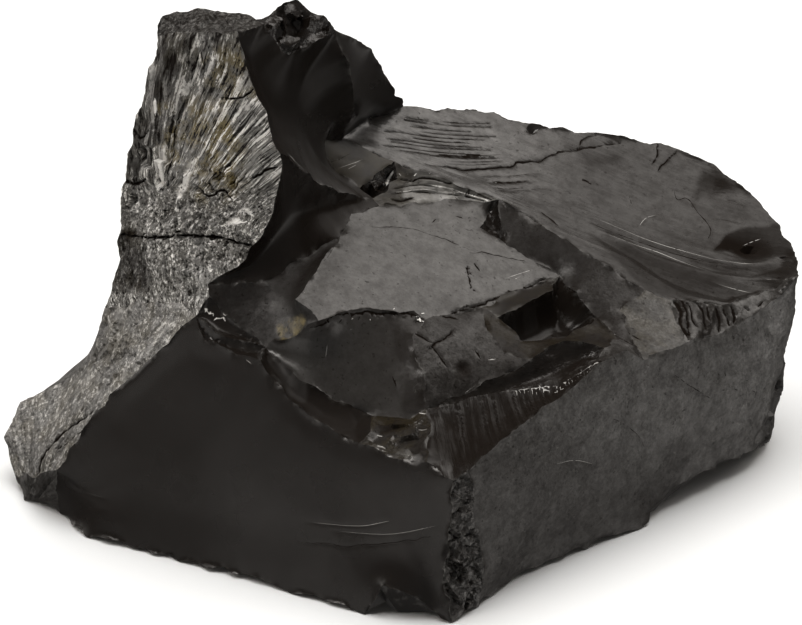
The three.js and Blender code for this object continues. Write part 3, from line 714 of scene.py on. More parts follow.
def line_grain(spot, line, stretch, beside=False):
    """Grain that crosses a line at right angles, or that runs beside it."""
    signed, share = along_line(spot, line)
    run = share * line_length(line)
    across, along = (signed, run) if beside else (run, signed)
    return level(across, along / stretch)


def swell(spot, size, height, salt=0):
    """Broad soft waves."""
    return height * layered(spot.points, size, 2, salt) * settle(spot, size / 4)


def grit(spot, size, height, salt=0):
    """Fine uneven grain."""
    return height * layered(spot.points, size, 3, salt) * settle(spot, 0.8)


def crushed(spot, size, height, salt=0):
    """Crushed stone in small flat facets."""
    return height * facets(spot.points, size, salt) * settle(spot, size / 2)


def streaks(spot, field, width, length, height, salt=0):
    """Hackly streaks along a field."""
    side, run = field[0](spot, field[1])
    side = side + 0.25 * noise(spot.points, 4, salt + 9)
    place = level(side / width, run / length)
    coarse = 1 - 2 * np.abs(noise(place, 1, salt))
    fine = 1 - 2 * np.abs(noise(place * (2.3, 2.0, 1), 1, salt + 1))
    return height * (coarse + 0.5 * fine) * settle(spot, 0.7)


def fold(spot, line, height, width):
    """A low step: the ground above the line stands higher than the ground below it."""
    signed, share = along_line(spot, line)
    ends = np.sin(math.pi * np.clip(share, 0.02, 0.98)) ** 0.5
    reach = np.exp(-((signed / (6 * width)) ** 2))
    return height * np.tanh(signed / width) * reach * ends * settle(spot, 1.2)


def trough(spot, line, width, deep, skew=0.6):
    """A trough below a line: it falls away from the line and climbs again at its far side."""
    signed, share = along_line(spot, line)
    reach = width * (0.35 + 0.65 * smooth(0, 0.5, share))
    run = np.clip(-signed / reach, 0, 1)
    fall = np.where(run < skew, smooth(0, skew, run), 1 - smooth(skew, 1, run))
    return -deep * reach / width * fall * smooth(0, 0.1, share) * settle(spot, 0.8)


def only_near(spot, inner, place, **sizes):
    """A form that stands only near a place (across, rise, reach)."""
    across, rise, reach = place
    away = np.hypot(spot.across - across, spot.rise - rise)
    return inner(spot, **sizes) * (1 - smooth(0.5 * reach, reach, away))


def crack(spot, line, width, deep, salt=0):
    """A crack that opens and closes along its run."""
    signed, share = along_line(spot, line)
    signed = signed + 0.25 * noise(spot.points, 1.5, salt)
    ends = smooth(0, 0.08, share) * smooth(0, 0.08, 1 - share)
    gape = 0.65 + 0.35 * noise(spot.points, 2.2, salt + 1)
    return -deep * np.exp(-((signed / width) ** 2)) * gape * ends * settle(spot, 0.3)


def ribs(spot, line, spacing, spread, height, salt=0):
    """Ribs that cross a line at right angles, for this far on each side of it."""
    signed, share = along_line(spot, line)
    turn = share * line_length(line) / spacing + 0.4 * noise(spot.points, 1.5, salt)
    place = level(turn, signed * 0.12)
    comb = 1 - 2 * np.abs(noise(place, 1, salt + 1))
    return height * comb * np.exp(-((signed / spread) ** 2)) * settle(spot, 0.3)


def bands(spot, line, spacing, spread, height, salt=0):
    """Bands that run beside a line."""
    signed, share = along_line(spot, line)
    place = level(signed / spacing, share * 3)
    comb = 1 - 2 * np.abs(noise(place, 1, salt))
    return height * comb * np.exp(-((signed / spread) ** 2)) * settle(spot, 0.4)


def hollow(spot, centre, radius, deep, squash=1.0):
    """A rounded pit, or a boss where deep is negative."""
    reach = np.hypot(spot.across - centre[0], (spot.rise - centre[1]) * squash)
    return -deep * (1 - smooth(0, radius, reach)) * settle(spot, 0.6)


# ---- drawn lines: dark cracks, painted highlight arcs, areas of painted shade and light ----
def curved(line, step):
    """A smooth curve through the points of a line, in steps of about this length."""
    points = np.array(line, float)
    ends = np.vstack([2 * points[0] - points[1], points, 2 * points[-1] - points[-2]])
    path = []
    for a, b, c, d in zip(ends, ends[1:], ends[2:], ends[3:]):
        count = max(1, round(np.linalg.norm(c - b) / step))
        for t in np.arange(count) / count:
            bend = (2 * a - 5 * b + 4 * c - d) * t**2 + (3 * b - a - 3 * c + d) * t**3
            path.append(b + 0.5 * ((c - a) * t + bend))
    return np.array(path + [points[-1]])


def comb(line, count, gap, trim, salt):
    """Lines below a line that runs to the right, their ends cut back unevenly."""
    across, rise = np.array(line, float).T
    run = across[-1] - across[0]
    lines = []
    for k in range(count):
        drop = (k + 0.35 * scatter((k, 0, 0), salt)) * gap
        start = across[0] + trim * run * abs(scatter((k, 1, 0), salt))
        end = across[-1] - trim * run * abs(scatter((k, 2, 0), salt))
        places = np.linspace(start, end, 5)
        lines.append(list(zip(places, np.interp(places, across, rise) - drop)))
    return lines


def hatch(line, spacing, length, salt):
    """Short upright strokes along a line, uneven in length."""
    path = curved(line, spacing)
    strokes = []
    for k, (across, rise) in enumerate(path):
        up = length * (0.6 + 0.4 * scatter((k, 0, 0), salt))
        down = length * (0.3 + 0.3 * scatter((k, 1, 0), salt))
        strokes.append([(across + 0.15 * down, rise - down), (across - 0.15 * up, rise + up)])
    return strokes


def crumbs(line, spacing, spread, length, salt):
    """Short strokes strewn about a line, each at a slant of its own."""
    path = curved(line, spacing)
    strokes = []
    for k, (across, rise) in enumerate(path):
        across = across + spread * scatter((k, 0, 0), salt)
        rise = rise + spread * scatter((k, 1, 0), salt)
        slant = math.pi * scatter((k, 2, 0), salt)
        half = 0.5 * length * (0.6 + 0.4 * scatter((k, 3, 0), salt))
        run, climb = half * math.cos(slant), half * math.sin(slant)
        strokes.append([(across - run, rise - climb), (across + run, rise + climb)])
    return strokes


def line_path(line, jagged):
    """The points along a drawn line, shaken a little where it is a jagged crack."""
    path = curved(line, LINE_STEP)
    solid = np.column_stack([path, np.zeros(len(path))])
    shake = 0.14 * noise(solid, 1.1, 5) + 0.08 * noise(solid, 0.4, 6)
    return path + jagged * np.column_stack([-shake, shake])


def line_distance(spot, path, half_width):
    """Distance from a drawn line in half-widths: 0 on it, FAR where it isn't near."""
    place = spot.drawn
    result = np.full(len(place), FAR)
    reach = FAR * half_width
    inside = ((place > path.min(0) - reach) & (place < path.max(0) + reach)).all(1)
    place = place[inside]
    if not len(place):
        return result
    nearest = np.full(len(place), np.inf)
    share = np.zeros(len(place))
    for i, (start, end) in enumerate(zip(path, path[1:])):
        run = end - start
        along = np.clip((place - start) @ run / max(run @ run, TINY), 0, 1)
        distance = np.linalg.norm(place - start - along[:, None] * run, axis=1)
        share = np.where(distance < nearest, (i + along) / (len(path) - 1), share)
        nearest = np.minimum(nearest, distance)
    taper = smooth(0, 0.2, share) * smooth(0, 0.2, 1 - share)
    result[inside] = np.minimum(FAR, nearest / (half_width * (0.25 + 0.75 * taper)))
    return result


def on_face(face, outline, drawn):
    """Flat places on a face of points on the drawing, found along the drawing's sight line."""
    sight = np.array([0, TILT_COS, -TILT_SIN])
    start = np.column_stack([drawn[:, 0], drawn[:, 1] * TILT_SIN, drawn[:, 1] * TILT_COS])
    height = np.zeros(len(drawn))
    for _ in range(4):
        run = (height - (start - face.middle) @ face.normal) / (sight @ face.normal)
        flat = face.flatten(start + run[:, None] * sight)[:, :2]
        height = span_height(flat, outline)
    return flat


# ---- lines that the flow of the break follows, as (across, rise) in mm ----
LONG_CRACK = [(2.7, 45.8), (4.7, 45.6), (7.9, 45.4), (9.9, 45.7), (13.9, 46.3), (15.7, 47),
              (17.9, 47.3), (20.5, 47.7), (22.4, 48)]
UPPER_ARC = [(17.5, 41.2), (20.7, 40.2), (25.1, 38.4), (29.9, 36.8), (31.9, 36.2), (35.1, 35.7),
             (37.5, 36.1)]
MIDDLE_ARC = [(19.5, 39.5), (22.3, 38.4), (25.9, 37.3), (29.9, 35.6), (33.9, 34.3), (38.3, 34)]
LOWER_ARC = [(29.9, 34.6), (31.9, 33.9), (33.9, 33.2), (37.3, 32.5)]
SLAB_SWEEP = [(-5, 50), (5, 46.5), (15, 42.5), (25, 38.5), (33, 35.5), (39, 34.6)]
BAND_LINE = [(-2.6, 42), (2, 42.9), (6, 42.9), (9.8, 42)]
HACKLE_LINE = [(3, 20), (10, 21.5), (16, 23.4), (20, 26)]
SLOT_LINE = [(4, 22), (13, 25), (20, 27)]
TOWER_FAN = (splay, (-26.6, 36))
ARM_FAN = (fan, (-36.8, 11.5))

# ---- styles: how closely each face is meshed, its forms, finish, painted shade and highlights ----
# matte: 0 is glass and 1 is dull. tone: 0 is black and 1 is grey. stain: ochre dirt.
# grain: how strongly the fine grain stands out. comb: how far it is drawn out along the flow.
# shade: painted shade that dims the colour and the sheen; below 0 it is painted light.
# bulge: how far the middle of the face stands out.
# shades, stains, combs: what areas of the drawing add to these, as (loop, soft edge, share);
# the areas of shades are painted shade, and painted light where their share is below 0.
# lines: the drawn lines, as (kind, a line or a list of them, half-width, depth).
def form(shape, /, **sizes):
    """A form or a grain and its sizes, kept until its face is made."""
    return shape, sizes


STYLES = {}


def set_style(face, **parts):
    """Keep the style of a face under its name."""
    STYLES[face] = parts


# In the styles below, shade and shades are painted shade, and painted light where below 0; gleam
# and glare lines are painted highlights.
set_style(
    "frontLeft", step="wide", bulge=0.5, matte=0.2, shade=0.1,
    shades=[
        ([(-36, 8), (-20, 4), (-19, 18), (-33, 20)], 3, 0.3),
        ([(-34, 9), (-16, 4), (-6, 2), (8, 1), (8, 6), (-8, 8), (-28, 12)], 2, 0.2),
    ],
    lines=[
        ("gleam", [(-33.6, 14.3), (-31.7, 13), (-28.7, 12.1)], 0.07, 0.05),
        ("gleam", [[(-15.2, 26), (-14.7, 25.6)], [(-12.4, 24.2), (-12, 24)]], 0.08, 0.03),
        ("gleam", [(-9, 10.1), (-4, 9.7), (-1, 10.2)], 0.05, 0.04),
        ("gleam", [(-6.5, 9.2), (-1, 8.9), (4, 9.8)], 0.04, 0.03),
        ("gleam", [(-33, 12.5), (-31, 11.4), (-29, 11)], 0.05, 0.03),
        ("crack", [(-10, 8.2), (-4, 7.7), (3, 8.6)], 0.04, 0.04),
    ],
    forms=[form(swell, size=9, height=0.16, salt=3)],
)
set_style(
    "nearCorner", step="finest", bulge=-0.2, matte=0.3, tone=0.12, grain=0.5,
    forms=[
        form(crushed, size=1.5, height=0.6, salt=11),
        form(crushed, size=0.7, height=0.3, salt=13),
    ],
)
set_style(
    "frontRight", step="even", bulge=0.8, matte=0.5, tone=0.12, grain=0.2,
    shades=[
        ([(25.9, 18), (28.6, 18.4), (28.4, 15.6), (26.2, 15.2)], 0.6, 0.35),
        ([(5, 2), (24, 6), (27, 15), (8, 17)], 3, 0.38),
        ([(16, 4), (40, 12), (40, 18), (16, 12)], 4, 0.15),
        ([(33, 19), (36.5, 20), (38.5, 31.5), (33.5, 29)], 1.5, -0.4),
        ([(35.6, 21), (37.5, 21), (39, 33), (36.6, 31.5)], 0.8, -0.5),
    ],
    lines=[
        ("crack", crumbs([(31, 24.6), (34, 23.4), (35.6, 21.8)], 0.7, 0.8, 0.8, 22), 0.05, 0.05),
        ("crack", [(27, 24.6), (29, 23.2), (30.4, 22.4)], 0.04, 0.03),
        ("gleam", [(14.9, 16), (16.8, 16.3), (18.7, 15.9)], 0.06, 0.03),
        ("crack", [(20.6, 20.4), (23, 18.9), (24, 17)], 0.04, 0.03),
    ],
    forms=[
        form(swell, size=11, height=0.25, salt=17),
        form(grit, size=1.6, height=0.05, salt=19),
        form(hollow, centre=(34.8, 26.5), radius=0.8, deep=0.12),
        form(hollow, centre=(36.6, 29), radius=0.7, deep=0.2),
    ],
)
set_style(
    "armToe", step="rough", matte=0.5, tone=0.2, grain=0.5, comb=0.6, shade=0.4,
    flow=form(spread_grain, field=ARM_FAN, stretch=4),
    forms=[form(streaks, field=ARM_FAN, width=1.6, length=5, height=0.2, salt=23)],
)
set_style(
    "arm", step="rough", matte=0.35, tone=0.7, stain=0.25, grain=0.7, comb=0.35,
    flow=form(spread_grain, field=ARM_FAN, stretch=6),
    shades=[
        ([(-38, 14), (-33, 13), (-31, 17), (-36, 19)], 2, 0.3),
        ([(-31, 25.5), (-28.5, 25.5), (-28.5, 32), (-31, 32)], 0.8, 0.3),
        ([(-30, 38.5), (-24.6, 38.5), (-25, 33.6), (-29.5, 33.8)], 0.8, 0.6),
        ([(-22, 34), (-18.6, 33.5), (-19, 30.5), (-22, 31)], 0.6, -0.9),
    ],
    lines=[
        ("crack", [(-36.4, 14), (-35, 17), (-33.2, 19.2), (-31, 20.6), (-30.4, 21.4)],
            0.12, 0.3),
        ("crack", [(-34.6, 16.6), (-31.8, 19), (-29.6, 22)], 0.06, 0.1),
    ],
    forms=[
        form(swell, size=6, height=0.4, salt=29),
        form(streaks, field=ARM_FAN, width=0.7, length=5, height=0.08, salt=31),
        form(crushed, size=0.7, height=0.07, salt=37),
        form(only_near, inner=crushed, place=(-29, 27, 5), size=1.6, height=0.4, salt=38),
    ],
)
set_style(
    "towerFace", step="finest", bulge=0.4, matte=0.2, tone=0.95, stain=0.1, grain=1, comb=0.85,
    flow=form(spread_grain, field=TOWER_FAN, stretch=9),
    shades=[
        ([(-24.2, 58.8), (-20.4, 58.8), (-22.8, 48), (-25.6, 48)], 1.4, 0.65),
        ([(-18.6, 59.4), (-15, 59.4), (-16, 55.8), (-18.2, 55.8)], 0.7, 0.3),
        ([(-26, 58), (-20.5, 58), (-21.5, 51.5), (-26, 51.5)], 1.5, 0.15),
        ([(-29, 33), (-25, 33), (-25.4, 38.4), (-29, 38.4)], 0.8, 0.8),
        ([(-28.4, 38.6), (-26.2, 38.6), (-26, 40.5), (-28, 40.5)], 0.5, 0.4),
        ([(-28, 43.4), (-25.4, 43.4), (-25.4, 45.4), (-27.6, 45.4)], 0.5, 0.4),
        ([(-25.6, 37), (-19, 37), (-19, 46.5), (-25.2, 46.5)], 1.2, -0.45),
        ([(-17.8, 38), (-13.6, 38), (-13.8, 40.8), (-17.4, 40.8)], 0.5, -0.5),
        ([(-16, 35.4), (-13, 35.4), (-13.4, 38), (-16, 38)], 0.6, 0.35),
        ([(-27.6, 50), (-25.2, 50), (-25.2, 45.4), (-27.8, 45.4)], 0.5, 0.3),
        ([(-19, 50), (-13.6, 51), (-12, 44), (-18, 42)], 2, -0.4),
    ],
    stains=[
        ([(-23.5, 51), (-18, 51.5), (-15.5, 48), (-15.5, 43), (-19, 41.8), (-23, 46)], 1.2, 1.5),
        ([(-20, 56.5), (-15, 56.5), (-14, 52), (-18, 52)], 1, 1),
    ],
    combs=[([(-31, 33), (-12, 33), (-12, 41.5), (-16, 42.5), (-22, 43), (-30, 42)], 1.5, -0.4)],
    lines=[
        ("glare", [(-20.2, 46.3), (-20.7, 45), (-21.3, 43.2), (-21.9, 41.6)], 0.4, 0),
        ("glare", [(-23.3, 46.6), (-23.5, 44.2), (-24, 42.4)], 0.5, 0),
        ("glare", [(-17.6, 39.2), (-16.2, 39.8), (-15, 39.6)], 0.35, 0),
        ("glare", [(-23.9, 52), (-23.8, 50.3)], 0.2, 0),
        ("glare", [(-15.9, 40.6), (-15, 40.9), (-14.2, 40.2)], 0.25, 0),
        ("crack", [(-27.6, 38.4), (-24, 38.2), (-18.4, 38.2), (-14.4, 37.2)], 0.16, 0.5),
        ("crack", crumbs([(-25, 38.3), (-18, 38), (-14.4, 37.2)], 0.9, 0.6, 0.8, 20), 0.1, 0.25),
        ("crack", [(-14.6, 44.2), (-13.5, 44.5), (-12.3, 45.2)], 0.16, 0.3),
        ("crack", [(-17.3, 51.8), (-16, 51.9), (-14.2, 52.7)], 0.13, 0.25),
        ("crack", [(-20, 43.2), (-18.6, 42.2), (-17.4, 42.9), (-16, 41.6)], 0.14, 0.3),
        ("crack", [(-22, 49.6), (-22.3, 46.5), (-23, 43)], 0.12, 0.2),
        ("crack", [(-27, 49.6), (-26, 48), (-25, 48.9)], 0.16, 0.3),
        ("crack", [(-28.4, 44.2), (-26.6, 43.6), (-25.2, 44)], 0.2, 0.4),
    ],
    forms=[
        form(swell, size=8, height=0.5, salt=41),
        form(streaks, field=TOWER_FAN, width=0.9, length=12, height=0.16, salt=43),
        form(streaks, field=TOWER_FAN, width=0.4, length=6, height=0.1, salt=44),
        form(crushed, size=0.7, height=0.05, salt=47),
        form(only_near, inner=crushed, place=(-19, 40.5, 7), size=0.9, height=0.45, salt=48),
        form(only_near, inner=crushed, place=(-26, 44, 5), size=2.2, height=0.9, salt=49),
        form(hollow, centre=(-25.4, 49.5), radius=1.3, deep=0.7, squash=0.7),
        form(hollow, centre=(-26.2, 46.3), radius=1.5, deep=0.9, squash=0.7),
        form(hollow, centre=(-25.6, 42.2), radius=1.7, deep=1, squash=0.8),
        form(hollow, centre=(-14.6, 35.8), radius=1.2, deep=1),
        form(hollow, centre=(-15.4, 39), radius=1.8, deep=-0.5, squash=1.2),
    ],
)
set_style(
    "towerCap", step="fine", matte=0.35, tone=0.35, grain=0.8, shade=0.62,
    forms=[form(crushed, size=2.2, height=0.35, salt=53)],
)
set_style(
    "towerScoop", step="even", bulge=-2.2, matte=0.3, shade=0.55,
    shades=[
        ([(-14, 51), (-5.6, 51), (-5.6, 57.5), (-13, 57.5)], 1.5, 0.25),
        ([(-11.3, 48), (-10.1, 45.5), (-8.3, 43.5), (-6.1, 42.2), (-4.1, 42), (-5.6, 43.5),
            (-7.6, 45.5), (-8.9, 48)], 0.5, -0.7),
    ],
    lines=[
        ("gleam", [(-11, 47.4), (-9.4, 44.8), (-7.9, 43.4), (-6.2, 42.5), (-4.6, 42.2)], 0.1, 0),
    ],
)
set_style(
    "crestLump", step="finest", matte=0.1, grain=0.3,
    forms=[form(crushed, size=1.9, height=1.2, salt=67)],
)
set_style(
    "spike", step="even", bulge=0.1, matte=0.3,
    forms=[form(crack, line=[(-4.7, 52.2), (-4.5, 50.2)], width=0.35, deep=0.8)],
)
set_style(
    "wedge", step="fine", matte=0.8, tone=0.1, stain=0.1,
    shades=[
        ([(-6.6, 45.2), (-4.6, 45), (-3, 43.4), (-4.6, 42.6)], 0.7, 0.3),
        ([(-9.5, 48), (-6.2, 47.6), (-5, 45.4), (-4, 43), (-9, 43.5)], 1.2, 0.35),
    ],
    lines=[
        ("gleam", [(-6.4, 45), (-5, 45.5), (-3.8, 46)], 0.09, 0),
        ("gleam", [(-5.4, 44.9), (-4.3, 45.5)], 0.08, 0),
        ("line", [(-8.2, 45.4), (-6.4, 45.9), (-5, 46.6)], 0.06, 0.03),
    ],
    forms=[form(crack, line=[(-6.4, 46.2), (-3.4, 45.8)], width=0.2, deep=0.15)],
)
set_style(
    "recess", step="finest", bulge=-1.3, matte=0.1, grain=0.4,
    lines=[
        ("glare", [(-3.9, 43.5), (-3.2, 44.6), (-2.6, 45.5)], 0.13, -0.1),
        ("glare", [(-1.3, 43.5), (-0.9, 44.4), (-0.5, 45.2)], 0.13, -0.1),
        ("gleam", [(-3.3, 43.6), (-2.2, 44.2)], 0.08, 0),
    ],
    forms=[form(crushed, size=1.2, height=1, salt=71)],
)
set_style(
    "stripedBand", step="finest", bulge=-0.3, matte=0.35, tone=0.6, stain=0.08, grain=0.12, comb=1,
    flow=form(line_grain, line=BAND_LINE, stretch=14, beside=True),
    shades=[
        ([(-3.1, 42.1), (-1.9, 41.2), (1.1, 41.6), (0.3, 42.4), (0.7, 43.6), (1.6, 44.4),
            (-0.3, 46.2), (-1.2, 44.2)], 0.25, 0.75),
        ([(4, 43.4), (9.6, 41.9), (9.4, 41.4), (4, 42)], 0.25, -0.8),
    ],
    lines=[
        ("crack", [(0.2, 43.9), (2.3, 44.2), (4.7, 43.7), (7.1, 42.9), (9.3, 42)], 0.12, 0.15),
        ("line", [[(-0.7, 43.1), (1.7, 43.6), (4.1, 43.3), (6.8, 42.6), (9.3, 41.9)], [(-1, 42.6),
            (1.7, 42.9), (4.7, 42.6), (7.1, 42.2), (9, 41.7)]], 0.1, 0.1),
        ("glare", [(2.6, 43.7), (4.8, 43.2), (7.2, 42.4), (9.4, 41.7)], 0.1, -0.05),
        ("gleam", [(-0.4, 42.8), (2.6, 43.1), (5.4, 42.6)], 0.12, -0.05),
        ("crack", [(-1, 42), (0.4, 42.1), (1.6, 42)], 0.14, 0.2),
        ("glare", crumbs([(0, 44.5), (3, 44.6), (5.5, 44)], 0.8, 0.2, 0.4, 10), 0.07, 0),
    ],
    forms=[
        form(bands, line=BAND_LINE, spacing=0.5, spread=3, height=0.08, salt=73),
        form(ribs, line=BAND_LINE, spacing=0.5, spread=3, height=0.04, salt=75),
    ],
)
set_style(
    "slab", step="even", bulge=-0.6, matte=0.22, tone=0.06, grain=0.16, comb=1,
    flow=form(line_grain, line=SLAB_SWEEP, stretch=14, beside=True),
    shades=[
        ([(-5, 50), (0, 51.5), (9, 50), (9, 46), (2, 46.5), (-6, 48)], 1, -0.25),
        ([(-0.5, 46.2), (4, 46), (10, 43.2), (10.5, 41.5), (6, 43), (2, 44.2)], 0.8, -0.4),
        ([(20, 37), (27, 39.5), (36, 38), (30, 33), (24, 32.5)], 1, 0.12),
        ([(18.7, 39), (25.1, 37.3), (29.9, 35.3), (37.3, 32.6), (36.5, 32), (29.1, 32),
            (26.4, 32.4), (24, 33.4), (21.5, 36.2)], 0.25, 0.25),
        ([(28.9, 36.6), (31.9, 35.8), (35.1, 35.4), (37.5, 35.8), (39.7, 35.8), (39.5, 35),
            (38.3, 34.2), (33.9, 34.6), (29.9, 36)], 0.25, 0.25),
        ([(32.7, 38.8), (34.4, 39.4), (36.9, 39.4), (37.9, 39.8), (39.1, 38), (39.6, 36.4),
            (37.5, 36.4), (35.1, 36.2), (33.4, 37), (31.5, 37.2), (32.1, 38)], 0.2, 0.4),
        ([(30.6, 45.2), (32.2, 44.9), (34.3, 43.3), (33.7, 42.9), (32, 43.1), (30.8, 43.3),
            (29.8, 42.2), (29.9, 43.9)], 0.5, 0.4),
        ([(18, 46.4), (19.4, 47.4), (20.6, 46.8), (22.6, 46.9), (21, 45.8), (19.8, 45.6)],
            0.6, 0.25),
        ([(12, 41), (19, 49), (41, 46), (41, 30), (24, 31)], 4, 0.48),
    ],
    lines=[
        ("crack", LONG_CRACK, 0.09, 0.12),
        ("crack", [(17.9, 47.4), (18.9, 48.4), (20.3, 48.8)], 0.09, 0.1),
        ("line", comb([(-2.5, 50.6), (4, 50), (11, 49.8)], 10, 0.36, 0.35, 1), 0.09, 0.08),
        ("line", comb([(2.6, 47), (7, 46.8), (11.5, 47)], 4, 0.36, 0.3, 2), 0.07, 0.05),
        ("line", comb([(7, 44.7), (11, 44.7), (15.4, 45.3)], 5, 0.42, 0.3, 3), 0.07, 0.05),
        ("line", comb([(31.6, 44.3), (33.6, 43.9), (35.3, 42.9)], 6, 0.34, 0.3, 4), 0.05, 0.04),
        ("crack", [[(26.1, 47.9), (25.9, 46.6), (25.4, 45.9)], [(27.9, 46.9), (26.7, 46),
            (26.1, 45.2)]], 0.1, 0.1),
        ("crack", [(27.7, 43.6), (27.9, 42.7), (29.1, 42.6), (30.1, 41.2), (31.1, 39.8),
            (31.2, 38.4)], 0.05, 0.03),
        ("crack", [(18.3, 44.5), (18.9, 44.3), (19.6, 43.9)], 0.08, 0.06),
        ("crack", [(23.3, 43), (23.5, 42)], 0.06, 0.05),
        ("crack", [(14, 41), (15, 40.3), (15.8, 39.6)], 0.09, 0.05),
        ("line", [(31.5, 40.6), (33.2, 40.2), (34.9, 39.6)], 0.05, 0.03),
        ("line", [(19.4, 40.1), (25, 38), (29.8, 36.4), (33.4, 35.6)], 0.07, 0.05),
        ("gleam", [(19.9, 43.9), (20.9, 44.9), (22.3, 45.8)], 0.04, 0.02),
        ("gleam", [(24.1, 39.9), (24.9, 40.8), (26, 41.1)], 0.07, 0.03),
        ("gleam", UPPER_ARC, 0.06, -0.03),
        ("gleam", MIDDLE_ARC, 0.07, -0.03),
        ("gleam", LOWER_ARC, 0.1, -0.04),
        ("gleam", [(34.5, 37.9), (35.5, 38.2), (36.3, 38.3)], 0.07, 0),
    ],
    forms=[
        form(swell, size=13, height=0.3, salt=79),
        form(trough, line=UPPER_ARC, width=1.6, deep=0.2),
        form(trough, line=MIDDLE_ARC, width=3.2, deep=0.5, skew=0.7),
        form(fold, line=LONG_CRACK, height=0.08, width=0.3),
        form(hollow, centre=(35, 37.6), radius=3, deep=0.5, squash=1.3),
        form(hollow, centre=(35.2, 37.4), radius=1, deep=1, squash=2.2),
        form(hollow, centre=(13.3, 49.2), radius=0.9, deep=0.6, squash=1.8),
        form(hollow, centre=(31.4, 44.2), radius=2.2, deep=0.3, squash=1.2),
    ],
)
set_style(
    "slabBevel", step="finest", matte=0.25, tone=0.1, grain=0.15, shade=0.05,
    shades=[
        ([(28, 32.5), (32.4, 32.5), (32.4, 29.5), (28, 29.5)], 0.5, 0.35),
        ([(29.6, 29.2), (31.6, 29), (31.2, 27.8), (29.6, 27.8)], 0.3, 0.6),
    ],
    lines=[
        ("crack", [(27.1, 32.5), (27.9, 30.8), (27.9, 29.6), (28.7, 28)], 0.2, 0.25),
        ("crack", [(27.7, 32.3), (28.4, 31), (28.8, 28.2)], 0.15, 0.2),
        ("crack", [(28.7, 31.8), (29.1, 30), (29.7, 29)], 0.1, 0.15),
        ("crack", [(29.5, 31.8), (30.3, 30.2), (30.5, 28.8)], 0.15, 0.2),
        ("crack", [(30.4, 31.6), (30.9, 30), (31, 29.4)], 0.12, 0.15),
        ("crack", [(31.3, 31.6), (31.8, 30), (31.7, 28.8)], 0.15, 0.2),
        ("crack", [(32, 31.6), (32.5, 30.4), (32.8, 29.2)], 0.1, 0.15),
        ("crack", [(32.8, 31.8), (33.2, 30.6), (33.2, 29.6)], 0.14, 0.2),
        ("crack", [[(34.1, 31.4), (34.7, 31)], [(35.7, 31.5), (36.5, 31.9)]], 0.1, 0.1),
    ],
    forms=[
        form(ribs, line=[(27, 31), (33, 30.4), (39, 33)], spacing=1.1, spread=3, height=0.3,
            salt=89),
        form(grit, size=1.2, height=0.06, salt=97),
    ],
)
set_style(
    "slabChip", step="fine", matte=0.6, tone=0.16, stain=0.1, grain=0.2,
    shades=[([(18.6, 30.2), (21.5, 30.6), (25, 27.6), (23.4, 26.4)], 0.8, 0.35)],
    lines=[
        ("crack", [(19, 31), (21.4, 29.4), (24.6, 27.6)], 0.08, 0.08),
        ("crack", [(20.4, 32.2), (22, 30.4)], 0.06, 0.05),
    ],
    forms=[form(grit, size=2, height=0.05, salt=101)],
)
set_style(
    "slabStep", step="even", matte=0.45, grain=0.12,
    shades=[([(18, 29.5), (21, 30.2), (25.5, 26.8), (21, 27.6)], 0.6, 0.4)],
    lines=[
        ("gleam", [(11.9, 35.6), (14.4, 35.8), (17, 36)], 0.05, 0),
        ("gleam", [(12.6, 34.9), (15.4, 35.2)], 0.04, 0),
        ("gleam", [(13, 40.7), (13.6, 40.3), (14.4, 39.9)], 0.12, 0),
        ("line", comb([(18.9, 29.6), (22, 28.2), (25, 26.6)], 4, 0.5, 0.4, 18), 0.08, 0.05),
        ("gleam", comb([(19.2, 29.4), (22.4, 28)], 2, 0.7, 0.4, 19), 0.05, 0.02),
    ],
    forms=[form(swell, size=6, height=0.05, salt=103)],
)
set_style(
    "plateauNook", step="fine", bulge=-0.8, matte=0.2, shade=0.3,
    forms=[form(crushed, size=1.2, height=0.3, salt=105)],
)
